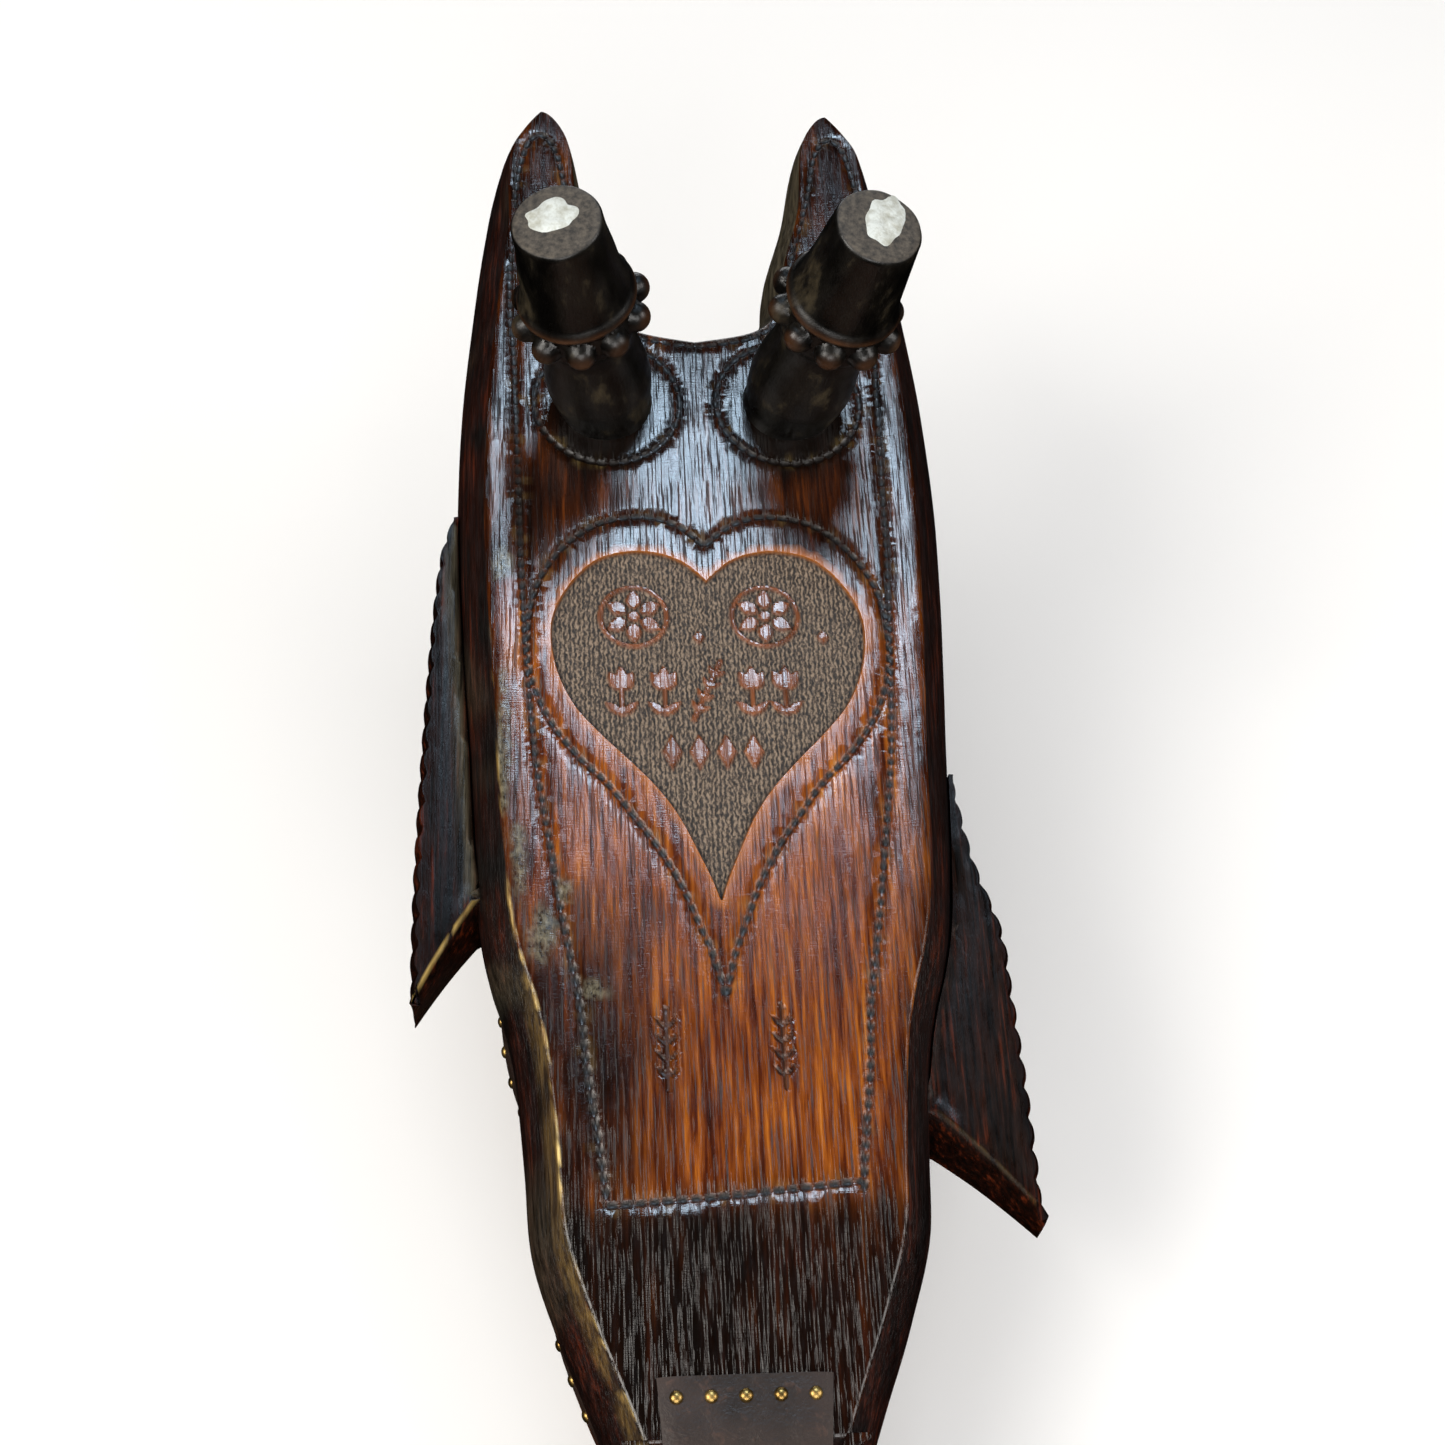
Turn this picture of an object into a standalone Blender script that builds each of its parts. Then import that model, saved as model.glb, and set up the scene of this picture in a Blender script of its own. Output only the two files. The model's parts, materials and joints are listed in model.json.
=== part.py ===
"""Hand bellows: a carved front board with two grip posts, a notched head and side
wings, hinged on a nozzle block over a plain back board, with a leather gusset.

World frame: +X to the right of the carved face, +Y from the nozzle to the horns,
+Z up.  The back board lies flat on z = 0 and the front board stands open.
Sizes below are millimetres and are turned to metres as the meshes are made.
"""
import math

import bmesh
import bpy
from mathutils import Matrix, Vector

MM = 0.001
GAP = 0.3                       # air left between touching pieces

# ---- driving sizes -------------------------------------------------------
HINGE_Y = -252.0                # pump hinge axis, parallel to X
HINGE_Z = 50.4
OPEN_DEG = 13.5                 # angle between the boards at rest

BOARD_T = 30.0                  # front board, carved face to back face
FACE_ABOVE_PIN = 34.0           # carved face above the hinge axis
# Side wall of the front board: how far inside the outline, at what height from the face.
SHOULDER = [(0, -BOARD_T), (0, -18), (1.4, -12), (4.0, -7.0), (7.3, -3.0), (9.6, -0.8), (11, 0)]
BACK_T = 12.0
LINER_T = 8.0
CHAMBER_INSET = 12.0            # chamber wall inside the front board's outline
CHAMBER_FRONT_Y = -212.0
TAIL_START_Y = 50.0             # where the chamber's round tail begins
TAIL_END_Y = 110.0

BLOCK_REAR_Y = -222.0
BLOCK_STEP_Y = -262.0
BLOCK_FRONT_Y = -330.0
BLOCK_STEP_Z = 46.0
BLOCK_TOP_Z = 84.0
BORE_Z = 29.0
BORE_R = 8.0
PIPE_SEAT_R = 11.0
PIPE_TIP_Y = -404.0

PIN_R = 1.6
KNUCKLE_R = 3.6
HINGE_HALF_WIDTH = 27.0

VALVE_Y = -36.0
VALVE_HOLE_R = 15.0

POST_X = 34.5                   # post axis where it meets the carved face
POST_Y = 134.0
POST_SPLAY = math.atan2(19.5, 104.0)
POST_LENGTH = 105.8
POST_BASE_R = 17.0
SOCKET_DEPTH = 4.0              # the post's round base is let into the board
TENON_R = 10.5
PLUG_R = 9.0

WING_FACE = -14.0               # wing's outer face, below the carved face
WING_BACK = -30.0
SCALLOP_PITCH = 11.0
SCALLOP_DEPTH = 1.3
WING_THINNEST = 1.0
DOWEL_R = 3.0

# Right-hand outline of the front board, from the neck to the middle of the notch.
BOARD_SIDE = [(38, -250), (46, -229), (55.5, -205), (64, -178), (66.3, -150), (69, -121),
              (72.5, -103), (77, -88), (80.8, -70), (83, -45), (85.5, 0), (88, 40),
              (89.8, 88), (88.5, 139), (84.5, 185), (80.5, 220), (76, 246)]
BOARD_HORN = [(70, 263), (58, 277), (46, 264), (38.7, 231)]
BOARD_NOTCH = [(30.5, 203), (28, 184), (21, 173.5), (0, 168.6)]
# Right-hand outline of the back board, from the nozzle end to the tail.
BACK_SIDE = [(22, -330), (31, -262), (37.5, -229), (46.5, -205), (55, -178), (57.5, -150),
             (60, -121), (64, -103), (71.5, -70), (74, -45), (76.5, 0), (79, 40), (80.8, 88),
             (76, 125), (56, 152), (38, 170), (32, 190), (24, 206), (0, 212)]
# Outer edges of the wings, from the top down to the tip, as distance from the middle.
WING_LEFT_EDGE = [(91, 92), (96, 77), (99.3, 44), (102, -4), (103.7, -46), (104.2, -75),
                  (104, -90), (102.4, -99.5)]
WING_LEFT_ROOT_Y = -70.5
WING_RIGHT_EDGE = [(85.5, -14), (91, -46), (98.6, -72), (100, -96), (101.4, -125),
                   (102, -150), (102, -164), (101.5, -175.5)]
WING_RIGHT_ROOT_Y = -147.0


# ---- small maths ---------------------------------------------------------
def smooth(stations, steps=5):
    """Catmull-Rom curve through the stations."""
    ends = [stations[0]] + list(stations) + [stations[-1]]
    curve = []
    for i in range(1, len(ends) - 2):
        p0, p1, p2, p3 = (Vector(p) for p in ends[i - 1:i + 3])
        for k in range(steps):
            t = k / steps
            curve.append(0.5 * ((2 * p1) + (p2 - p0) * t
                                + (2 * p0 - 5 * p1 + 4 * p2 - p3) * t ** 2
                                + (3 * p1 - p0 - 3 * p2 + p3) * t ** 3))
    curve.append(Vector(stations[-1]))
    return [(p.x, p.y) for p in curve]


def mirrored(right_half):
    """Closed outline from a right-hand half that ends on x = 0."""
    left_half = [(-x, y) for x, y in reversed(right_half) if x > 0.01]
    return list(right_half) + left_half


def width_at(half_outline, y):
    """Half-width of the outline at y, on its rising side."""
    for (x0, y0), (x1, y1) in zip(half_outline, half_outline[1:]):
        if y0 <= y <= y1:
            return x0 + (x1 - x0) * (y - y0) / (y1 - y0)
    raise ValueError("no outline at y = %g" % y)


def pushed_out(path, distance):
    """The path moved sideways: to the right of its direction for a positive distance."""
    moved = []
    for i, point in enumerate(path):
        before = Vector(path[max(i - 1, 0)])
        after = Vector(path[min(i + 1, len(path) - 1)])
        along = (after - before).normalized()
        moved.append((point[0] + along.y * distance, point[1] - along.x * distance))
    return moved


def eased(value, start, end):
    """From 0 at start to 1 at end, smoothly."""
    climb = min(max((value - start) / (end - start), 0), 1)
    return climb * climb * (3 - 2 * climb)


def shoulder_share(x, y):
    """The shoulder is full along the sides, less on the horns and slight in the notch."""
    notch_line = 44 + 0.12 * (y - 168)
    in_notch = eased(y, 150, 165) * (1 - eased(abs(x), notch_line - 6, notch_line + 8))
    return (1 - 0.62 * eased(y, 215, 262)) * (1 - 0.75 * in_notch)


def drawn_in(outline, inset):
    """The front board's closed outline, moved inward by its share of the shoulder."""
    wrapped = [outline[-1]] + list(outline) + [outline[0]]
    moved = pushed_out(wrapped, -inset)[1:-1]
    result = []
    for (x, y), (full_x, full_y) in zip(outline, moved):
        share = shoulder_share(x, y)
        result.append((x + (full_x - x) * share, y + (full_y - y) * share))
    return result


BOARD_HALF = smooth(BOARD_SIDE + BOARD_HORN + BOARD_NOTCH)
BOARD_EDGE = smooth(BOARD_SIDE)


def chamber_half():
    """Right-hand half of the chamber's outline, from the block round to the tail."""
    run = int((TAIL_START_Y - CHAMBER_FRONT_Y) / 12)
    side = []
    for i in range(run):
        y = CHAMBER_FRONT_Y + (TAIL_START_Y - CHAMBER_FRONT_Y) * i / run
        side.append((width_at(BOARD_EDGE, y) - CHAMBER_INSET, y))
    tail_x = width_at(BOARD_EDGE, TAIL_START_Y) - CHAMBER_INSET
    for i in range(13):
        turn = math.pi / 2 * i / 12
        side.append((tail_x * math.cos(turn),
                     TAIL_START_Y + (TAIL_END_Y - TAIL_START_Y) * math.sin(turn)))
    return side


CHAMBER = chamber_half()
CHAMBER_LOOP = CHAMBER + [(-x, y) for x, y in reversed(CHAMBER[:-1])]
NECK = [(31, -246), (32.5, -234), (36, -222)]
GUSSET_PATH = NECK + CHAMBER_LOOP + [(-x, y) for x, y in reversed(NECK)]


# ---- scene helpers -------------------------------------------------------
def clear_scene():
    for old in list(bpy.data.objects):
        bpy.data.objects.remove(old, do_unlink=True)


def collection(name):
    made = bpy.data.collections.new(name)
    bpy.context.scene.collection.children.link(made)
    return made


clear_scene()
PARTS = collection("hand_bellows")
CUTTERS = collection("cutters")


def frame_empty(name, location, tilt_deg=0.0):
    empty = bpy.data.objects.new(name, None)
    empty.location = [c * MM for c in location]
    empty.rotation_euler = (math.radians(tilt_deg), 0, 0)
    empty.empty_display_size = 0.03
    PARTS.objects.link(empty)
    return empty


HINGE = (0, HINGE_Y, HINGE_Z)
BASE = frame_empty("frame_base", (0, 0, 0))
FRONT = frame_empty("frame_front", HINGE, OPEN_DEG)
RIB_LOWER = frame_empty("frame_rib_lower", HINGE, OPEN_DEG / 3)
RIB_UPPER = frame_empty("frame_rib_upper", HINGE, OPEN_DEG * 2 / 3)


def in_front(x, y, w):
    """Point of the front board's own drawing (w above the carved face) in FRONT."""
    return (x, y - HINGE_Y, w + FACE_ABOVE_PIN)


def shift_y(outline):
    """Plan outline of a tilted piece, measured from the hinge axis."""
    return [(x, y - HINGE_Y) for x, y in outline]


def material(name, colour, roughness, metallic=0.0):
    made = bpy.data.materials.new(name)
    made.use_nodes = True
    shader = made.node_tree.nodes["Principled BSDF"]
    shader.inputs["Base Color"].default_value = (*colour, 1)
    shader.inputs["Roughness"].default_value = roughness
    shader.inputs["Metallic"].default_value = metallic
    made.diffuse_color = (*colour, 1)
    return made


WOOD = (0.16, 0.055, 0.02)
DARK_WOOD = (0.045, 0.022, 0.012)
PALE_WOOD = (0.30, 0.17, 0.08)
LEATHER = (0.10, 0.045, 0.02)
BRASS = (0.65, 0.45, 0.16)
IRON = (0.10, 0.10, 0.10)
FINISHES = {"wood": (WOOD, 0.35, 0), "dark_wood": (DARK_WOOD, 0.4, 0),
            "pale_wood": (PALE_WOOD, 0.6, 0), "leather": (LEATHER, 0.6, 0),
            "brass": (BRASS, 0.35, 1), "iron": (IRON, 0.45, 1),
            "filler": ((0.75, 0.74, 0.70), 0.8, 0)}


def finish(obj, look, parent):
    colour, roughness, metallic = FINISHES[look]
    obj.data.materials.clear()
    obj.data.materials.append(material("%s_%s" % (obj.name, look), colour, roughness, metallic))
    obj.parent = parent
    return obj


def as_cutter(obj, parent):
    obj.parent = parent
    obj.hide_render = True
    obj.display_type = 'WIRE'
    PARTS.objects.unlink(obj)
    CUTTERS.objects.link(obj)
    return obj


def boolean(target, tool, operation='DIFFERENCE'):
    step = target.modifiers.new(tool.name, 'BOOLEAN')
    step.operation = operation
    step.object = tool
    step.solver = 'EXACT'
    return target


def drill(target, tool, parent):
    boolean(target, as_cutter(tool, parent))


def new_object(name, mesh):
    obj = bpy.data.objects.new(name, mesh)
    PARTS.objects.link(obj)
    return obj


def box(name, low, high):
    """A box between two corners in millimetres."""
    cells = bmesh.new()
    bmesh.ops.create_cube(cells, size=1)
    size = Vector(high) - Vector(low)
    middle = (Vector(high) + Vector(low)) / 2
    place = Matrix.Translation(middle * MM) @ Matrix.Diagonal((*(size * MM), 1))
    bmesh.ops.transform(cells, matrix=place, verts=cells.verts)
    mesh = bpy.data.meshes.new(name)
    cells.to_mesh(mesh)
    cells.free()
    return new_object(name, mesh)


def rod(name, start, end, radius, end_radius=None, sides=32):
    """A cylinder or cone between two points in millimetres."""
    start, end = Vector(start) * MM, Vector(end) * MM
    cells = bmesh.new()
    bmesh.ops.create_cone(cells, cap_ends=True, segments=sides, radius1=radius * MM,
                          radius2=(radius if end_radius is None else end_radius) * MM,
                          depth=(end - start).length)
    turn = Vector((0, 0, 1)).rotation_difference(end - start).to_matrix().to_4x4()
    place = Matrix.Translation((start + end) / 2) @ turn
    bmesh.ops.transform(cells, matrix=place, verts=cells.verts)
    mesh = bpy.data.meshes.new(name)
    cells.to_mesh(mesh)
    cells.free()
    return new_object(name, mesh)


def mesh_from_curve(curve_object):
    """A mesh object in place of a filled curve, with its caps welded."""
    bpy.context.view_layer.update()
    seen = curve_object.evaluated_get(bpy.context.evaluated_depsgraph_get())
    mesh = bpy.data.meshes.new_from_object(seen)
    cells = bmesh.new()
    cells.from_mesh(mesh)
    bmesh.ops.remove_doubles(cells, verts=cells.verts, dist=0.00001)
    cells.to_mesh(mesh)
    cells.free()
    name = curve_object.name
    place = curve_object.matrix_world.copy()
    bpy.data.objects.remove(curve_object, do_unlink=True)
    obj = new_object(name, mesh)
    obj.name = name
    obj.matrix_world = place
    return obj


def plate(name, outline, low, high):
    """A flat outline in millimetres, thick from low to high."""
    curve = bpy.data.curves.new(name, 'CURVE')
    curve.dimensions = '2D'
    curve.fill_mode = 'BOTH'
    curve.extrude = (high - low) / 2 * MM
    line = curve.splines.new('POLY')
    line.points.add(len(outline) - 1)
    for point, (x, y) in zip(line.points, outline):
        point.co = (x * MM, y * MM, 0, 1)
    line.use_cyclic_u = True
    made = bpy.data.objects.new(name, curve)
    PARTS.objects.link(made)
    solid = mesh_from_curve(made)
    solid.data.transform(Matrix.Translation((0, 0, (high + low) / 2 * MM)))
    return solid


def lofted(name, rings):
    """A closed solid through (outline, height) rings with the same number of points."""
    cells = bmesh.new()
    rows = [[cells.verts.new((x * MM, y * MM, z * MM)) for x, y in outline]
            for outline, z in rings]
    for low, high in zip(rows, rows[1:]):
        for i in range(len(low)):
            j = (i + 1) % len(low)
            cells.faces.new((low[i], low[j], high[j], high[i]))
    cells.faces.new(list(reversed(rows[0])))
    cells.faces.new(rows[-1])
    bmesh.ops.recalc_face_normals(cells, faces=cells.faces)
    mesh = bpy.data.meshes.new(name)
    cells.to_mesh(mesh)
    cells.free()
    return new_object(name, mesh)


def band(name, path, inner, outer, low, high):
    """An upright strip that follows a path, between two sideways distances."""
    outline = pushed_out(path, outer) + list(reversed(pushed_out(path, inner)))
    return plate(name, outline, low, high)


def turned(name, profile, steps=48):
    """A profile of (radius, height) turned about Z."""
    cells = bmesh.new()
    verts = [cells.verts.new((r * MM, 0, h * MM)) for r, h in profile]
    for a, b in zip(verts, verts[1:]):
        cells.edges.new((a, b))
    mesh = bpy.data.meshes.new(name)
    cells.to_mesh(mesh)
    cells.free()
    obj = new_object(name, mesh)
    screw = obj.modifiers.new("turn", 'SCREW')
    screw.steps = steps
    screw.render_steps = steps
    screw.use_merge_vertices = True
    screw.merge_threshold = 0.00001
    return obj


def round_edges(obj, width, segments=2, angle=50):
    bevel = obj.modifiers.new("round", 'BEVEL')
    bevel.width = width * MM
    bevel.segments = segments
    bevel.limit_method = 'ANGLE'
    bevel.angle_limit = math.radians(angle)
    return obj


# ---- front board and what is fixed to it ---------------------------------
def post_axis(side, along):
    """A point on a grip post's axis, this far out of the carved face."""
    return Vector(in_front(side * (POST_X + math.sin(POST_SPLAY) * along), POST_Y,
                           math.cos(POST_SPLAY) * along))


def front_board():
    """Board lofted up from its back through the rounded shoulder to the carved face."""
    outline = mirrored(BOARD_HALF)
    rings = [(shift_y(drawn_in(outline, inset)), FACE_ABOVE_PIN + w) for inset, w in SHOULDER]
    board = lofted("front_board", rings)
    for side in (-1, 1):
        hole = rod("cut_mortise_%d" % side, post_axis(side, -45), post_axis(side, 12),
                   TENON_R + GAP, sides=40)
        drill(board, hole, FRONT)
        socket = rod("cut_socket_%d" % side, post_axis(side, -SOCKET_DEPTH - GAP),
                     post_axis(side, 12), POST_BASE_R + GAP, sides=48)
        drill(board, socket, FRONT)
    return finish(board, "wood", FRONT)


def front_liner():
    low = FACE_ABOVE_PIN - BOARD_T - GAP - LINER_T
    liner = plate("front_liner", shift_y(CHAMBER_LOOP), low, low + LINER_T)
    return finish(liner, "pale_wood", FRONT)


# Grip post from its sawn end to its tenon, as (radius, distance out of the face).
POST_PROFILE = [(PLUG_R + GAP, POST_LENGTH - 3), (PLUG_R + GAP, POST_LENGTH),
                (15.2, POST_LENGTH), (15.7, 104.8), (16.0, 96), (16.8, 84), (18.0, 73),
                (19.0, 68.5), (20.3, 67.6), (20.8, 66), (20.3, 64.6), (20.8, 63.5),
                (24.6, 61.5), (26.3, 58.5), (26.3, 56.5), (24.6, 53.5), (20.2, 51.5),
                (18.2, 49), (17.6, 42), (18.2, 32), (18.9, 22), (18.6, 12), (17.6, 6),
                (POST_BASE_R, 3), (POST_BASE_R, -SOCKET_DEPTH)]


def grip_post(name, side):
    tenon = [(TENON_R, -SOCKET_DEPTH), (TENON_R, -26.5), (0, -26.5)]
    post = turned(name, [(0, POST_LENGTH - 3)] + POST_PROFILE + tenon)
    post.location = post_axis(side, 0) * MM
    post.rotation_euler = (0, side * POST_SPLAY, 0)
    slot = box("cut_wedge_%s" % name, (-1.6, -13, -40), (1.6, 13, -11.5))
    slot.location = post.location
    slot.rotation_euler = post.rotation_euler
    drill(post, slot, FRONT)
    return finish(post, "dark_wood", FRONT)


def post_plug(name, side):
    plug = turned(name, [(0, POST_LENGTH + 1.2), (PLUG_R * 0.6, POST_LENGTH + 1.0),
                         (PLUG_R, POST_LENGTH + 0.2), (PLUG_R, POST_LENGTH - 3 + GAP),
                         (0, POST_LENGTH - 3 + GAP)], steps=32)
    plug.location = post_axis(side, 0) * MM
    plug.rotation_euler = (0, side * POST_SPLAY, 0)
    return finish(plug, "filler", FRONT)


def tenon_wedge(name, side):
    wedge = box(name, (-1.3, -9.8, -26.5), (1.3, 9.8, -12.0))
    wedge.location = post_axis(side, 0) * MM
    wedge.rotation_euler = (0, side * POST_SPLAY, 0)
    return finish(wedge, "pale_wood", FRONT)


def wing_outline(edge, root_y, side):
    """Scalloped outer edge down to the tip, then back up the board's own side."""
    outer = smooth([(x, y) for x, y in edge], 10)
    travelled = 0.0
    scalloped = []
    for before, here in zip([outer[0]] + outer, outer):
        travelled += (Vector(here) - Vector(before)).length
        dip = SCALLOP_DEPTH * (1 - abs(math.sin(math.pi * travelled / SCALLOP_PITCH)))
        thinnest = width_at(BOARD_EDGE, here[1]) + GAP + WING_THINNEST
        scalloped.append((max(here[0] - dip, thinnest), here[1]))
    top_y = edge[0][1]
    levels = [root_y] + [y for _, y in BOARD_EDGE if root_y < y < top_y - 1]
    root = [(width_at(BOARD_EDGE, y) + GAP, y) for y in levels]
    return [(side * x, y) for x, y in scalloped + root]


def dowel_places(edge, root_y):
    top_y = edge[0][1]
    return [top_y + (root_y - top_y) * part for part in (0.42, 0.84)]


def dowel_ends(side, y):
    middle = (WING_FACE + WING_BACK) / 2
    wall = width_at(BOARD_EDGE, y)
    return (in_front(side * (wall - 13), y, middle), in_front(side * (wall + 8), y, middle))


def wing_with_dowels(side_name, side, edge, root_y, board):
    outline = shift_y(wing_outline(edge, root_y, side))
    wing = plate("wing_%s" % side_name, outline, WING_BACK + FACE_ABOVE_PIN,
                 WING_FACE + FACE_ABOVE_PIN)
    for number, y in enumerate(dowel_places(edge, root_y), 1):
        inner, outer = dowel_ends(side, y)
        reach = Vector((side * GAP, 0, 0))
        hole = rod("cut_dowel_%s_%d" % (side_name, number), Vector(inner) - reach,
                   Vector(outer) + reach, DOWEL_R + GAP, sides=24)
        drill(wing, hole, FRONT)
        boolean(board, hole)
        peg = rod("dowel_%s_%d" % (side_name, number), inner, outer, DOWEL_R, sides=24)
        finish(peg, "pale_wood", FRONT)
    return finish(wing, "dark_wood", FRONT)


def spring_pad():
    face = FACE_ABOVE_PIN - BOARD_T - GAP - LINER_T
    pad = box("spring_pad", (-16, 178, face - GAP - 2.5), (16, 214, face - GAP))
    return finish(round_edges(pad, 0.8), "leather", FRONT)


# ---- hinge ---------------------------------------------------------------
def hinge_leaf(name, parent, origin, plate_low, plate_high, knuckles):
    """A leaf with its knuckles on the axis through origin, bored for the pin."""
    ox, oy, oz = origin
    leaf = box(name, (-HINGE_HALF_WIDTH, oy + 4.6, oz + plate_low),
               (HINGE_HALF_WIDTH, oy + 18, oz + plate_high))
    for number, (left, right) in enumerate(knuckles):
        tongue = box("join_%s_tongue_%d" % (name, number), (left, oy + 0.5, oz + plate_low),
                     (right, oy + 6, oz + plate_high))
        boolean(leaf, as_cutter(tongue, parent), 'UNION')
        barrel = rod("join_%s_barrel_%d" % (name, number), (left, oy, oz), (right, oy, oz),
                     KNUCKLE_R, sides=28)
        boolean(leaf, as_cutter(barrel, parent), 'UNION')
    bore = rod("cut_%s_bore" % name, (-40, oy, oz), (40, oy, oz), PIN_R + 0.08, sides=28)
    drill(leaf, bore, parent)
    return finish(leaf, "iron", parent)


def hinge_screw(name, parent, leaf, wood, head, direction):
    """A round-headed screw through the leaf into the wood."""
    head, direction = Vector(head), Vector(direction)
    screw = rod(name, head - direction * 1.1, head, 2.0, 2.9, sides=24)
    shank = rod("join_%s_shank" % name, head - direction * 0.5, head + direction * 9, 1.2,
                sides=16)
    boolean(screw, as_cutter(shank, parent), 'UNION')
    pilot = rod("cut_%s_pilot" % name, head + direction * (-GAP), head + direction * 9.6, 1.5,
                sides=16)
    boolean(leaf, as_cutter(pilot, parent))
    boolean(wood, pilot)
    return finish(screw, "iron", parent)


def hinge(board, block):
    upper = hinge_leaf("hinge_leaf_upper", FRONT, (0, 0, 0), 2.1, 3.7, [(-8.8, 8.8)])
    lower = hinge_leaf("hinge_leaf_lower", BASE, HINGE, -4.1, -2.5,
                       [(-HINGE_HALF_WIDTH, -9.2), (9.2, HINGE_HALF_WIDTH)])
    pin = rod("hinge_pin", (-28.5, HINGE_Y, HINGE_Z), (28.5, HINGE_Y, HINGE_Z), PIN_R, sides=28)
    finish(pin, "iron", BASE)
    for number, x in enumerate((-18, 18), 1):
        hinge_screw("hinge_screw_upper_%d" % number, FRONT, upper, board,
                    (x, 11.5, 2.1 - GAP), (0, 0, 1))
        hinge_screw("hinge_screw_lower_%d" % number, BASE, lower, block,
                    (x, HINGE_Y + 11.5, HINGE_Z - 2.5 + GAP), (0, 0, -1))


# ---- back board, block and nozzle ----------------------------------------
def back_board():
    board = plate("back_board", mirrored(smooth(BACK_SIDE, 4)), 0, BACK_T)
    round_edges(board, 2.5, 3, 60)
    hole = rod("cut_intake", (0, VALVE_Y, -5), (0, VALVE_Y, 40), VALVE_HOLE_R, sides=40)
    drill(board, hole, BASE)
    return finish(board, "wood", BASE)


def back_liner():
    low = BACK_T + GAP
    liner = plate("back_liner", CHAMBER_LOOP, low, low + LINER_T)
    boolean(liner, bpy.data.objects["cut_intake"])
    return finish(liner, "pale_wood", BASE)


LINER_TOP = BACK_T + GAP + LINER_T


def head_block():
    half = [(20, BLOCK_FRONT_Y), (25.5, -292), (28.6, -262), (29.2, BLOCK_REAR_Y)]
    outline = half + [(-x, y) for x, y in reversed(half)]
    block = plate("head_block", outline, BACK_T + GAP, BLOCK_TOP_Z)
    step = box("cut_block_step", (-60, BLOCK_STEP_Y, BLOCK_STEP_Z), (60, -180, 120))
    drill(block, step, BASE)
    slope = box("cut_block_slope", (-60, -80, 0), (60, 0, 60))
    slope.location = (0, (BLOCK_STEP_Y - 8) * MM, BLOCK_TOP_Z * MM)
    slope.rotation_euler = (math.radians(24), 0, 0)
    drill(block, slope, BASE)
    bore = rod("cut_block_bore", (0, -200, BORE_Z), (0, -345, BORE_Z), BORE_R, sides=32)
    drill(block, bore, BASE)
    seat = rod("cut_block_seat", (0, BLOCK_FRONT_Y + 26, BORE_Z), (0, -345, BORE_Z),
               PIPE_SEAT_R + GAP, sides=32)
    drill(block, seat, BASE)
    return finish(block, "wood", BASE)


def block_peg(name, side, block):
    """A wooden peg through the block's low step into the back board."""
    x, y = side * 20, -229
    peg = rod(name, (x, y, 3), (x, y, BLOCK_STEP_Z + 0.6), 3, sides=20)
    hole = rod("cut_%s" % name, (x, y, 3 - GAP), (x, y, 60), 3 + GAP, sides=20)
    drill(block, hole, BASE)
    boolean(bpy.data.objects["back_board"], hole)
    return finish(peg, "pale_wood", BASE)


def nozzle_pipe():
    """Tapered tube with a real bore; heights run from its seat to its tip."""
    seat, tip = 0.0, (BLOCK_FRONT_Y + 26 - GAP) - PIPE_TIP_Y
    wall = [(BORE_R - 0.4, seat), (4.6, tip), (6.2, tip), (6.9, tip - 1.2), (6.4, tip - 5),
            (10.4, seat + 36), (PIPE_SEAT_R, seat + 30), (PIPE_SEAT_R, seat),
            (BORE_R - 0.4, seat)]
    pipe = turned("nozzle_pipe", wall, steps=40)
    pipe.location = (0, (BLOCK_FRONT_Y + 26 - GAP) * MM, BORE_Z * MM)
    pipe.rotation_euler = (math.radians(90), 0, 0)
    return finish(pipe, "iron", BASE)


def nozzle_ferrule():
    inner = PIPE_SEAT_R + GAP
    ring = [(inner, 0), (inner, 7), (14.5, 7), (16.2, 5.6), (15.4, 4.2), (16.8, 2.4),
            (16.8, 0), (inner, 0)]
    ferrule = turned("nozzle_ferrule", ring, steps=40)
    ferrule.location = (0, (BLOCK_FRONT_Y - GAP) * MM, BORE_Z * MM)
    ferrule.rotation_euler = (math.radians(90), 0, 0)
    return finish(ferrule, "brass", BASE)


# ---- valve ---------------------------------------------------------------
def valve():
    low = LINER_TOP + GAP
    hinge_y = VALVE_Y + 24
    flap = box("valve_flap", (-22, hinge_y - 46, low), (22, hinge_y, low + 3.5))
    finish(round_edges(flap, 0.6), "leather", BASE)
    strip = box("valve_strip", (-22, hinge_y + GAP, low), (22, hinge_y + 13, low + 1.6))
    finish(round_edges(strip, 0.4), "leather", BASE)
    for name, x in (("valve_tack_left", -15), ("valve_tack_right", 15)):
        tack = rod(name, (x, hinge_y + 7, low + 1.6 + GAP), (x, hinge_y + 7, low + 3.4), 3.0, 1.4,
                   sides=20)
        finish(tack, "brass", BASE)
    keeper_wire(low)


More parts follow.
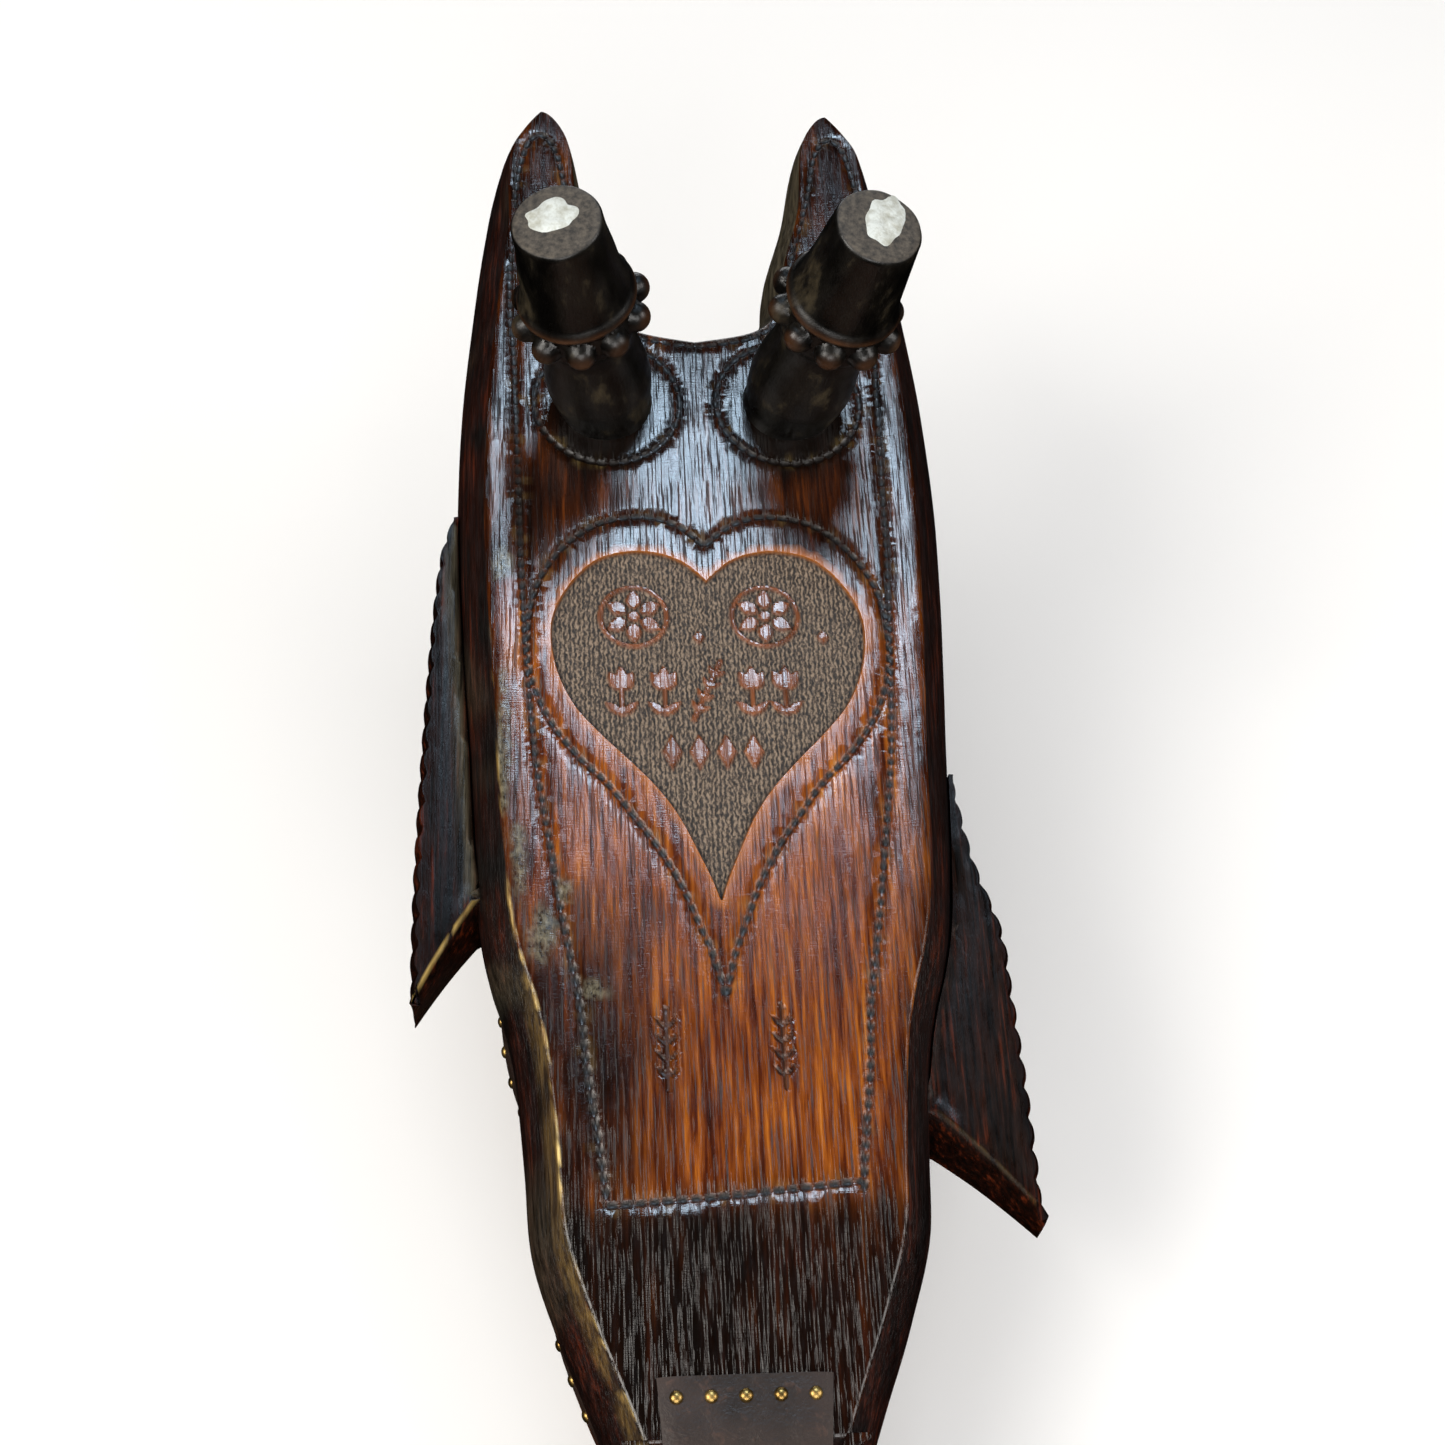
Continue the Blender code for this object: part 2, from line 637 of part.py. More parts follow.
def keeper_wire(low):
    """A staple over the flap that stops it from falling right back."""
    y, half, top, bend = VALVE_Y - 8, 27, 23, 5
    route = [(-half, 0)]
    for i in range(5):
        turn = math.pi / 2 * i / 4
        route.append((-half + bend - bend * math.cos(turn), top - bend + bend * math.sin(turn)))
    route += [(-x, z) for x, z in reversed(route)]
    curve = bpy.data.curves.new("valve_keeper", 'CURVE')
    curve.dimensions = '3D'
    curve.bevel_depth = 1.4 * MM
    curve.bevel_resolution = 3
    curve.use_fill_caps = True
    line = curve.splines.new('POLY')
    line.points.add(len(route) - 1)
    for point, (x, z) in zip(line.points, route):
        point.co = (x * MM, y * MM, (low + z) * MM, 1)
    keeper = bpy.data.objects.new("valve_keeper", curve)
    PARTS.objects.link(keeper)
    return finish(mesh_from_curve(keeper), "iron", BASE)


# ---- return spring -------------------------------------------------------
def spring():
    """A bent leaf: flat on the back liner, round its bow, up to the front liner."""
    low = LINER_TOP + GAP + 0.6
    bow_r = 7.0
    route = [(-118, low), (-150, low), (-188, low)]
    for i in range(1, 8):
        turn = math.radians(202) * i / 8
        route.append((-188 - bow_r * math.sin(turn), low + bow_r - bow_r * math.cos(turn)))
    end_y, end_z = -58.0, 87.4
    start_y, start_z = route[-1]
    for i in range(1, 9):
        part = i / 8
        belly = 3.0 * math.sin(math.pi * part)
        route.append((start_y + (end_y - start_y) * part,
                      start_z + (end_z - start_z) * part + belly))
    cells = bmesh.new()
    verts = [[cells.verts.new((x * MM, y * MM, z * MM)) for y, z in route] for x in (-11, 11)]
    for i in range(len(route) - 1):
        cells.faces.new((verts[0][i], verts[0][i + 1], verts[1][i + 1], verts[1][i]))
    mesh = bpy.data.meshes.new("spring_leaf")
    cells.to_mesh(mesh)
    cells.free()
    leaf = new_object("spring_leaf", mesh)
    skin = leaf.modifiers.new("thick", 'SOLIDIFY')
    skin.thickness = 1.2 * MM
    skin.offset = 0
    hole = rod("cut_spring_hole", (0, -140, 0), (0, -140, low + 3), 2.2, sides=20)
    drill(leaf, hole, BASE)
    boolean(bpy.data.objects["back_liner"], hole)
    finish(leaf, "iron", BASE)
    screw = rod("spring_screw", (0, -140, low + 0.9), (0, -140, low + 3), 4.4, 3.0, sides=24)
    shank = rod("join_spring_shank", (0, -140, LINER_TOP - 7), (0, -140, low + 1.5), 1.9, sides=20)
    boolean(screw, as_cutter(shank, BASE), 'UNION')
    finish(screw, "iron", BASE)


# ---- ribs, gusset and welts ----------------------------------------------
PIN_TO_BACK_LINER = LINER_TOP - HINGE_Z
PIN_TO_FRONT_LINER = FACE_ABOVE_PIN - BOARD_T - GAP - LINER_T


def rib(name, parent, part):
    """A hoop that holds the leather out, this part of the way up the chamber."""
    middle = PIN_TO_BACK_LINER + (PIN_TO_FRONT_LINER - PIN_TO_BACK_LINER) * part
    hoop = band(name, shift_y(CHAMBER_LOOP), -10, -2, middle - 2, middle + 2)
    return finish(hoop, "pale_wood", parent)


def gusset_row(part, above_pin, sideways, fold):
    """One level of the leather wall, turned part of the way to the front board."""
    angle = math.radians(OPEN_DEG) * part
    path = shift_y(GUSSET_PATH)
    rows = []
    bay = (PIN_TO_FRONT_LINER - PIN_TO_BACK_LINER) / 3
    for (x, y), (bare_x, bare_y) in zip(pushed_out(path, sideways), path):
        height = bay + bare_y * math.sin(math.radians(OPEN_DEG) / 3)
        sink = fold * min(0.28 * height, 9.0)
        away = Vector((x - bare_x, y - bare_y)).normalized()
        px, py = x - away.x * sink, y - away.y * sink
        rows.append((px, HINGE_Y + py * math.cos(angle) - above_pin * math.sin(angle),
                     HINGE_Z + py * math.sin(angle) + above_pin * math.cos(angle)))
    return rows


def gusset():
    """Leather wall between the liners, folded inward between the ribs."""
    lift = PIN_TO_FRONT_LINER - PIN_TO_BACK_LINER
    levels = [(0, BACK_T + 0.5 - HINGE_Z, 0)]
    for i in range(7):
        levels.append((i / 6, PIN_TO_BACK_LINER + lift * i / 6, i % 2))
    levels.append((1, FACE_ABOVE_PIN - BOARD_T - 0.5, 0))
    cells = bmesh.new()
    grid = []
    for part, above_pin, fold in levels:
        row = gusset_row(part, above_pin, 1.5, fold)
        grid.append([cells.verts.new([c * MM for c in p]) for p in row])
    for low, high in zip(grid, grid[1:]):
        for i in range(len(low) - 1):
            cells.faces.new((low[i], low[i + 1], high[i + 1], high[i]))
    mesh = bpy.data.meshes.new("gusset")
    cells.to_mesh(mesh)
    cells.free()
    wall = new_object("gusset", mesh)
    skin = wall.modifiers.new("thick", 'SOLIDIFY')
    skin.thickness = 1.6 * MM
    skin.offset = 0
    return finish(wall, "leather", BASE)


def welts():
    """Leather strips nailed over the gusset's two edges."""
    low = BACK_T + GAP
    lower = band("welt_back", GUSSET_PATH, 2.7, 4.2, low, low + LINER_T)
    finish(lower, "leather", BASE)
    upper = band("welt_front", shift_y(GUSSET_PATH), 2.7, 4.2, PIN_TO_FRONT_LINER,
                 PIN_TO_FRONT_LINER + LINER_T)
    finish(upper, "leather", FRONT)


def neck_leather():
    """A strip over the gap between the head block and the front board."""
    slope = math.radians(24)
    head_edge = Vector((BLOCK_STEP_Y - 8, BLOCK_TOP_Z + 1.3))
    route = [head_edge - Vector((math.cos(slope), math.sin(slope))) * 16, head_edge,
             Vector((BLOCK_STEP_Y + 0.5, BLOCK_TOP_Z + 2.2))]
    tilt = math.radians(OPEN_DEG)
    for reach in (14, 20, 32):
        above = FACE_ABOVE_PIN + 1.4
        route.append(Vector((HINGE_Y + reach * math.cos(tilt) - above * math.sin(tilt),
                             HINGE_Z + reach * math.sin(tilt) + above * math.cos(tilt))))
    cells = bmesh.new()
    columns = []
    for i in range(9):
        share = i / 4 - 1
        columns.append([cells.verts.new((share * half * MM, p.x * MM, p.y * MM))
                        for p, half in zip(route, (22, 24, 24, 26, 27, 27))])
    for left, right in zip(columns, columns[1:]):
        for i in range(len(route) - 1):
            cells.faces.new((left[i], right[i], right[i + 1], left[i + 1]))
    mesh = bpy.data.meshes.new("neck_leather")
    cells.to_mesh(mesh)
    cells.free()
    strip = new_object("neck_leather", mesh)
    skin = strip.modifiers.new("thick", 'SOLIDIFY')
    skin.thickness = 1.6 * MM
    skin.offset = 0
    return finish(strip, "leather", BASE)


def build():
    board = front_board()
    front_liner()
    for side_name, side in (("left", -1), ("right", 1)):
        grip_post("post_%s" % side_name, side)
        post_plug("post_plug_%s" % side_name, side)
        tenon_wedge("tenon_wedge_%s" % side_name, side)
    wing_with_dowels("left", -1, WING_LEFT_EDGE, WING_LEFT_ROOT_Y, board)
    wing_with_dowels("right", 1, WING_RIGHT_EDGE, WING_RIGHT_ROOT_Y, board)
    spring_pad()
    back_board()
    back_liner()
    block = head_block()
    for side_name, side in (("left", -1), ("right", 1)):
        block_peg("block_peg_%s" % side_name, side, block)
    hinge(board, block)
    nozzle_pipe()
    nozzle_ferrule()
    valve()
    spring()
    rib("rib_lower", RIB_LOWER, 1 / 3)
    rib("rib_upper", RIB_UPPER, 2 / 3)
    gusset()
    welts()
    neck_leather()
    bpy.context.view_layer.update()


build()
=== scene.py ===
"""Looks of the hand bellows: carved front board, turned posts, wings, leather and nails.

The board's own drawing is used for everything carved: u to the right, v towards the
horns, w out of the carved face, all in millimetres from the middle of the heart.
"""
import json
from math import atan2, cos, exp, pi, radians, sin, sqrt, tan, tau

import bmesh
import bpy
import numpy as np
from mathutils import Matrix, Vector, geometry, kdtree, noise


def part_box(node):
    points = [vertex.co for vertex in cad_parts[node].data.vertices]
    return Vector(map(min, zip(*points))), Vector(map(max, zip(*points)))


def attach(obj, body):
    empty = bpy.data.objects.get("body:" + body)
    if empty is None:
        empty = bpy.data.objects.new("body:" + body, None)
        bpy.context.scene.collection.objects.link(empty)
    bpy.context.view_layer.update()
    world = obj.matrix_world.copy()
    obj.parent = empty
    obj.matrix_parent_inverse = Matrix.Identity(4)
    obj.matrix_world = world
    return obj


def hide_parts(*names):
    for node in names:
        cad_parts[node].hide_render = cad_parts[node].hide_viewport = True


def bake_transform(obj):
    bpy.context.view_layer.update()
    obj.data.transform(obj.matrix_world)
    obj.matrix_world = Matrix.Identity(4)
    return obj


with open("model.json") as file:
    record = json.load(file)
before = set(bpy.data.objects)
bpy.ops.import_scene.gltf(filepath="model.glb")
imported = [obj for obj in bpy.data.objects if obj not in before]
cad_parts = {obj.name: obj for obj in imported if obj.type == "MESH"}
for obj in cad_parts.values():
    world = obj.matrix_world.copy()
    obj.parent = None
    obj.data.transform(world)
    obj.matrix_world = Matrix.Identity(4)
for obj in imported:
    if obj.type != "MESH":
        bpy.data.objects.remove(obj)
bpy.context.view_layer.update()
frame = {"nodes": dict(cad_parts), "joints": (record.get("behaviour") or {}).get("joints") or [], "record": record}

MM = 0.001

# ---- sizes shared with the CAD part ----
PUMP = next(joint for joint in frame["joints"] if joint["name"] == "pump")
HINGE = Vector(PUMP["pos_m"]) / MM
OPEN = radians(13.5)
FACE_ABOVE_PIN = 34.0
BOARD_T = 30.0
LINER_T = 8.0
GAP = 0.3
CHAMBER_INSET = 12.0
CHAMBER_FRONT_Y = -212.0
TAIL_START_Y = 50.0
TAIL_END_Y = 110.0
POST_X = 34.5
POST_Y = 134.0
POST_SPLAY = atan2(19.5, 104.0)
POST_LENGTH = 105.8
TENON_R = 10.5
WING_BACK = -30.0
WING_FACE = -14.0
WING_HOUSED = 0.4
# A wing's edge from its back to its face: how far in, at what share of its thickness.
WING_ROWS = [(0.7, 0.0), (0.0, 0.06), (0.0, 0.62), (0.35, 0.82), (0.9, 0.93), (1.8, 1.0),
             (2.7, 1.0)]
# The wing row whose lower edge carries the painted glint.
GLINT_INSET = 1.8

BOARD_SIDE = [(38, -250), (46, -229), (55.5, -205), (64, -178), (66.3, -150), (69, -121),
              (72.5, -103), (77, -88), (80.8, -70), (83, -45), (85.5, 0), (88, 40),
              (89.8, 88), (88.5, 139), (84.5, 185), (80.5, 220), (76, 246)]
BOARD_HORN = [(70, 263), (58, 277), (46, 264), (38.7, 231)]
BOARD_NOTCH = [(30.5, 203), (28, 184), (21, 173.5), (0, 168.6)]
WING_LEFT = [(91, 92), (96, 77), (99.3, 44), (102, -4), (103.7, -46), (104.2, -75),
             (104, -90), (102.4, -99.5)]
WING_RIGHT = [(85.5, -14), (91, -46), (98.6, -72), (100, -96), (101.4, -125),
              (102, -150), (102, -164), (101.5, -175.5)]

# ---- the carving, right-hand halves ----
HEART_LINE = [(0, 71.4), (8, 79), (17, 83), (25.5, 83.7), (39, 80.5), (51, 71), (60, 57),
              (64, 40), (63.5, 20), (56.7, 1.5), (47.5, -12), (37.2, -23), (28.2, -35.6),
              (20.4, -47.1), (13.5, -60), (8.3, -73.3), (3.7, -85.6), (0, -100.5)]
HEART_FIELD = [(0, 57), (8, 64.5), (17, 68.3), (28, 69), (40, 65), (50, 54), (55.7, 40),
               (54.5, 23), (48.5, 8), (39.5, -3.5), (29.5, -14), (19.8, -25), (12.7, -36),
               (7, -48.5), (2.8, -58.5), (0, -67)]
BORDER = [(0, 160), (20, 163.5), (33, 172), (37, 186), (40, 204), (47.5, 232), (52, 254),
          (58, 262), (64, 254), (68, 229), (70, 185), (68.5, 150), (67.5, 110), (66.5, 66),
          (64.5, 25), (62, -10), (58, -40), (52.5, -76), (48, -102), (46, -124), (42.5, -150),
          (41, -164)]
BOTTOM_LINE = [(-41, -168), (0, -165.5), (41, -162)]
RING_R = 27.2
ROPE_PITCH = 4.4
ROPE_HALF = 1.9
FIELD_DEPTH = 2.2
# Spacing of the mesh's points in the heart, over the incised sprigs and elsewhere.
FIELD_STEP, CUT_STEP, PLAIN_STEP = 0.72, 0.85, 3.1

FACE = (Matrix.Translation(HINGE * MM) @ Matrix.Rotation(OPEN, 4, 'X')
        @ Matrix.Translation((0, -HINGE.y * MM, FACE_ABOVE_PIN * MM)))


# ---- small maths ----
def smooth(stations, steps=5):
    """Catmull-Rom curve through the stations, as an array of points."""
    ends = np.array([stations[0]] + list(stations) + [stations[-1]], float)
    curve = []
    for i in range(1, len(ends) - 2):
        p0, p1, p2, p3 = ends[i - 1:i + 3]
        for k in range(steps):
            t = k / steps
            curve.append(0.5 * (2 * p1 + (p2 - p0) * t + (2 * p0 - 5 * p1 + 4 * p2 - p3) * t ** 2
                                + (3 * p1 - p0 - 3 * p2 + p3) * t ** 3))
    curve.append(ends[-1])
    return np.array(curve)


def mirror_loop(half):
    """Closed loop from a right-hand half whose last point is on the middle line."""
    left = [(-x, y) for x, y in half[::-1] if x > 0.01]
    return np.array(list(map(tuple, half)) + left)


def normals_of(path, closed=False):
    """Unit vectors to the right of the path's direction."""
    if closed:
        along = np.roll(path, -1, 0) - np.roll(path, 1, 0)
    else:
        along = np.gradient(path, axis=0)
    along = along / np.linalg.norm(along, axis=1, keepdims=True)
    return np.stack([along[:, 1], -along[:, 0]], 1)


def even(path, spacing):
    """The path walked at an even spacing, with the distance walked at each point."""
    steps = np.linalg.norm(np.diff(path, axis=0), axis=1)
    walked = np.concatenate([[0], np.cumsum(steps)])
    count = max(int(round(walked[-1] / spacing)), 1)
    at = np.linspace(0, walked[-1], count + 1)
    return np.stack([np.interp(at, walked, path[:, i]) for i in (0, 1)], 1), at


def walk_round(loop, spacing):
    """Evenly spaced points round a closed loop."""
    return even(np.vstack([loop, loop[:1]]), spacing)[0]


def turns(count):
    """Angles that share out a full turn."""
    return [tau * i / count for i in range(count)]


def polar(radius, angle):
    return radius * cos(angle), radius * sin(angle)


def grid(x_range, y_range, x_step, y_step):
    gx, gy = np.meshgrid(np.arange(*x_range, x_step), np.arange(*y_range, y_step))
    return np.stack([gx.ravel(), gy.ravel()], 1)


def ease(value, start, end):
    """From 0 at start to 1 at end, level at both."""
    t = np.clip((value - start) / (end - start), 0, 1)
    return t * t * (3 - 2 * t)


def inside(points, loop):
    """Which points lie inside a closed loop."""
    x, y = points[:, 0][:, None], points[:, 1][:, None]
    x0, y0 = loop[:, 0], loop[:, 1]
    x1, y1 = np.roll(x0, -1), np.roll(y0, -1)
    crosses = (y0 > y) != (y1 > y)
    with np.errstate(divide='ignore', invalid='ignore'):
        where = x0 + (y - y0) * (x1 - x0) / (y1 - y0)
    return (np.sum(crosses & (x < where), axis=1) % 2) == 1


def nearest(points, line):
    """Distance to the nearest of a line's points, and that point's index."""
    tree = kdtree.KDTree(len(line))
    for i, (x, y) in enumerate(line):
        tree.insert((x, y, 0), i)
    tree.balance()
    found = [tree.find((x, y, 0)) for x, y in points]
    return np.array([f[2] for f in found]), np.array([f[1] for f in found])


def clear_of(points, line, gap):
    """The points that are more than a gap away from a line's points."""
    return points[nearest(points, line)[0] > gap]


def rough(points, size, seed=0.0):
    """Smooth noise from -1 to 1, with features of that size."""
    return np.array([noise.noise((x / size, y / size, seed)) for x, y in points])


BOARD_HALF = smooth(BOARD_SIDE + BOARD_HORN + BOARD_NOTCH, 9)
BOARD_EDGE = smooth(BOARD_SIDE, 5)


def half_width(v):
    """Half the board's width at a height along it."""
    return np.interp(v, BOARD_EDGE[:, 1], BOARD_EDGE[:, 0])


# ---- making meshes ----
def new_object(name, data):
    made = bpy.data.objects.new(name, data)
    bpy.context.scene.collection.objects.link(made)
    return made


def mesh_object(name, verts, faces, smooth_angle, place=Matrix()):
    """A mesh from millimetre points, shaded smooth except at sharp edges."""
    mesh = bpy.data.meshes.new(name)
    mesh.from_pydata([tuple(float(c) * MM for c in v) for v in verts], [],
                     [tuple(int(i) for i in f) for f in faces])
    mesh.validate()
    made = new_object(name, mesh)
    soften(made, smooth_angle)
    made.matrix_world = place
    return made


def soften(obj, angle):
    mesh = obj.data
    mesh.shade_smooth()
    mesh.set_sharp_from_angle(angle=radians(angle))


def put_masks(made, **masks):
    """Give each vertex a number under each name, for materials to read."""
    for name, values in masks.items():
        layer = made.data.attributes.new(name, 'FLOAT', 'POINT')
        layer.data.foreach_set("value", np.asarray(values, np.float32))


def skin(faces, rows, count, closed=True, first=0):
    """Quads between rows of count vertices, which follow each other from first on."""
    for low in range(first, first + (rows - 1) * count, count):
        for i in range(count if closed else count - 1):
            j = (i + 1) % count
            faces.append((low + i, low + j, low + count + j, low + count + i))


def cap(border, within, start):
    """Triangles that close a border: the new points, and faces in which the border's
    vertices count from start and the new points come after them."""
    count = len(border)
    flat = [Vector(p) for p in np.vstack([border, within])]
    ring = [(i, (i + 1) % count) for i in range(count)]
    found, _, triangles, origin, _, _ = geometry.delaunay_2d_cdt(flat, ring, [], 1, 0.01)
    index, fresh = [], []
    for point, sources in zip(found, origin):
        on_border = [k for k in sources if k < count]
        index.append(start + (on_border[0] if on_border else count + len(fresh)))
        if not on_border:
            fresh.append(tuple(point))
    return np.array(fresh), [[index[i] for i in triangle] for triangle in triangles]


def dress(made, body, material, slot, *replaced):
    """Give a piece its material, its body and the CAD nodes that it stands for."""
    made.data.materials.clear()
    made.data.materials.append(material)
    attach(made, body)
    if replaced:
        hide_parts(*replaced)


# ---- materials ----
class Shader:
    """A material's node tree, written one call to a node."""

    def __init__(self, name):
        self.material = bpy.data.materials.new(name)
        self.material.use_nodes = True
        self.tree = self.material.node_tree
        self.principled = self.tree.nodes["Principled BSDF"]

    def link(self, source, target):
        """Feed an input with a number, a colour or another node's output."""
        if isinstance(source, (int, float)):
            target.default_value = source
        elif isinstance(source, tuple):
            target.default_value = (*source, 1)
        else:
            self.tree.links.new(source, target)

    def node(self, kind, inputs, **settings):
        made = self.tree.nodes.new(kind)
        for key, value in settings.items():
            setattr(made, key, value)
        for key, source in inputs.items():
            self.link(source, made.inputs[key])
        return made

    def place(self, scale):
        """Object coordinates in millimetres, multiplied along each axis."""
        coordinates = self.node("ShaderNodeTexCoord", {}).outputs["Object"]
        mapping = self.node("ShaderNodeMapping", {"Vector": coordinates})
        mapping.inputs["Scale"].default_value = [1000 * s for s in scale]
        return mapping.outputs["Vector"]

    def noise(self, scale, detail=3, roughness=0.5, distortion=0):
        inputs = {"Vector": self.place(scale), "Scale": 1, "Detail": detail,
                  "Roughness": roughness, "Distortion": distortion}
        return self.node("ShaderNodeTexNoise", inputs).outputs["Fac"]

    def waves(self, period, distortion):
        """Rows along Y, one every period millimetres."""
        inputs = {"Vector": self.place((1, 1, 1)), "Scale": tau / 20 / period,
                  "Distortion": distortion, "Detail": 2, "Detail Scale": 2.2}
        return self.node("ShaderNodeTexWave", inputs, wave_type='BANDS',
                         bands_direction='X').outputs["Fac"]

    def cells(self, scale):
        inputs = {"Vector": self.place(scale), "Scale": 1}
        return self.node("ShaderNodeTexVoronoi", inputs).outputs["Distance"]

    def math(self, operation, a, b):
        return self.node("ShaderNodeMath", {0: a, 1: b}, operation=operation).outputs[0]

    def blend(self, a, b, share):
        """A share of a, and of b the rest."""
        return self.math('ADD', self.math('MULTIPLY', a, share),
                         self.math('MULTIPLY', b, 1 - share))

    def ramp(self, value, stops):
        """Colours or greys at positions along a value."""
        made = self.node("ShaderNodeValToRGB", {0: value})
        elements = made.color_ramp.elements
        while len(elements) < len(stops):
            elements.new(0.5)
        for element, (position, colour) in zip(elements, stops):
            element.position = position
            tone = colour if isinstance(colour, tuple) else (colour,) * 3
            element.color = (*tone, 1)
        return made.outputs[0]

    def mix(self, share, a, b):
        inputs = {0: share, 6: a, 7: b}
        return self.node("ShaderNodeMix", inputs, data_type='RGBA').outputs[2]

    def attribute(self, name):
        return self.node("ShaderNodeAttribute", {}, attribute_name=name).outputs["Fac"]

    def painted(self, colour, **layers):
        """The colour under others, each laid on by the mesh's mask of that name."""
        for mask, over in layers.items():
            colour = self.mix(self.attribute(mask), colour, over)
        return colour

    def bump(self, height, strength, distance, below=None):
        """Relief up to a distance in millimetres, over the relief below it if there is one."""
        inputs = {"Height": height, "Strength": strength, "Distance": distance * MM}
        if below is not None:
            inputs["Normal"] = below
        return self.node("ShaderNodeBump", inputs).outputs["Normal"]

    def finish(self, colour, roughness, normal=None, **fixed):
        self.link(colour, self.principled.inputs["Base Color"])
        self.link(roughness, self.principled.inputs["Roughness"])
        if normal is not None:
            self.link(normal, self.principled.inputs["Normal"])
        for key, value in fixed.items():
            self.principled.inputs[key.replace("_", " ")].default_value = value
        return self.material


def wood_grain(s, ring_spacing, share):
    """Fine streaks, pores, and a figure with that share of streaks in it, all along Y."""
    streak = s.noise((1.5 / ring_spacing, 0.026, 1.5 / ring_spacing), 5, 0.66, 0.15)
    pores = s.noise((4.2 / ring_spacing, 0.05, 4.2 / ring_spacing), 2, 0.6)
    broad = s.noise((0.09, 0.014, 0.09), 3, 0.5)
    return streak, s.ramp(pores, [(0.54, 0), (0.66, 1)]), s.blend(streak, broad, share)


def carved_oak():
    """French-polished oak, with masks painted on the mesh for dirt, ground and rubbing, and for painted shadow
    round the posts' feet and painted highlights on the left ridge and the heart's rim.
    """
    s = Shader("carved_oak")
    streak, pores, figure = wood_grain(s, 3.0, 0.66)
    warm = s.ramp(figure, [(0.33, (0.016, 0.0025, 0.0008)), (0.44, (0.075, 0.013, 0.0018)),
                           (0.53, (0.20, 0.047, 0.0042)), (0.61, (0.36, 0.105, 0.009)),
                           (0.70, (0.64, 0.25, 0.028))])
    deep = s.ramp(figure, [(0.36, (0.003, 0.0012, 0.0008)), (0.53, (0.016, 0.004, 0.0015)),
                           (0.68, (0.075, 0.014, 0.003))])
    colour = s.painted(warm, dark=deep)
    colour = s.mix(s.math('MULTIPLY', pores, 0.6), colour, (0.006, 0.002, 0.001))
    rows = s.waves(1.7, 5.5)
    speck = s.noise((1.25, 0.6, 1.25), 3, 0.75)
    punched = s.blend(rows, speck, 0.17)
    ground = s.ramp(punched, [(0.36, (0.008, 0.005, 0.003)), (0.48, (0.058, 0.038, 0.024)),
                              (0.62, (0.26, 0.19, 0.13))])
    raised = s.ramp(figure, [(0.35, (0.070, 0.022, 0.010)), (0.62, (0.24, 0.085, 0.038))])
    worn_and_highlit = s.ramp(streak, [(0.40, (0.16, 0.075, 0.014)), (0.60, (0.75, 0.56, 0.22))])
    wax = s.ramp(s.noise((0.6, 0.35, 0.6), 4, 0.7),
                 [(0.38, (0.016, 0.013, 0.008)), (0.66, (0.19, 0.17, 0.115))])
    # Painted light on the board: a near-black painted shadow round each post's foot, an orange painted highlight
    # on the heart's rim and a golden painted highlight on the left ridge.
    colour = s.painted(colour, soot=(0.003, 0.0018, 0.0012), ground=ground, motif=raised,
                       rim=(0.34, 0.105, 0.014), dirt=(0.004, 0.0025, 0.0018), wear=worn_and_highlit,
                       wax=wax)
    matt = s.math('MAXIMUM', s.attribute("ground"), s.attribute("dirt"))
    gloss = s.ramp(s.noise((0.5, 0.12, 0.5), 4, 0.65), [(0.3, 0.11), (0.75, 0.24)])
    roughness = s.mix(matt, gloss, (0.44, 0.44, 0.44))
    open_pores = s.math('MULTIPLY', pores, s.math('SUBTRACT', 0.7, s.attribute("soot")))
    roughness = s.mix(s.math('MAXIMUM', open_pores, 0.0), roughness, (0.6, 0.6, 0.6))
    ripples = s.noise((0.30, 2.1, 0.30), 3, 0.6)
    normal = s.bump(s.math('SUBTRACT', 1.0, pores), 0.45, 0.30)
    normal = s.bump(streak, 0.22, 0.4, normal)
    normal = s.bump(ripples, 0.16, 0.35, normal)
    normal = s.bump(s.math('MULTIPLY', s.attribute("ground"), punched), 0.9, 0.9, normal)
    return s.finish(colour, roughness, normal)


def wall_oak():
    """The board's side walls: smoke-black and dark red, hardly polished."""
    s = Shader("wall_oak")
    streak, pores, figure = wood_grain(s, 2.4, 0.6)
    colour = s.ramp(figure, [(0.42, (0.003, 0.001, 0.0006)), (0.55, (0.013, 0.0024, 0.0009)),
                             (0.70, (0.075, 0.012, 0.0025))])
    olive = s.ramp(streak, [(0.38, (0.016, 0.012, 0.006)), (0.64, (0.085, 0.070, 0.042))])
    worn_and_highlit = s.ramp(streak, [(0.40, (0.06, 0.030, 0.006)), (0.62, (0.26, 0.16, 0.035))])
    # Painted highlight: the last layer lights the left ridge and a band low on the left wall.
    colour = s.painted(colour, dirt=(0.0025, 0.0015, 0.001), olive=olive, wear=worn_and_highlit)
    roughness = s.ramp(s.noise((0.4, 0.1, 0.4), 3, 0.6), [(0.3, 0.34), (0.75, 0.55)])
    normal = s.bump(s.math('SUBTRACT', 1.0, pores), 0.4, 0.3)
    normal = s.bump(streak, 0.3, 0.5, normal)
    return s.finish(colour, roughness, normal, Specular_IOR_Level=0.3)


def plain_wood(name, dark, middle, light, gloss):
    s = Shader(name)
    streak, pores, figure = wood_grain(s, 3.0, 0.6)
    colour = s.ramp(figure, [(0.32, dark), (0.50, middle), (0.70, light)])
    colour = s.mix(s.math('MULTIPLY', pores, 0.6), colour, tuple(c * 0.35 for c in dark))
    roughness = s.ramp(s.noise((0.3, 0.1, 0.3), 3), [(0.3, gloss), (0.75, gloss + 0.2)])
    normal = s.bump(s.math('SUBTRACT', 1.0, pores), 0.4, 0.25)
    normal = s.bump(streak, 0.3, 0.4, normal)
    return s.finish(colour, roughness, normal)


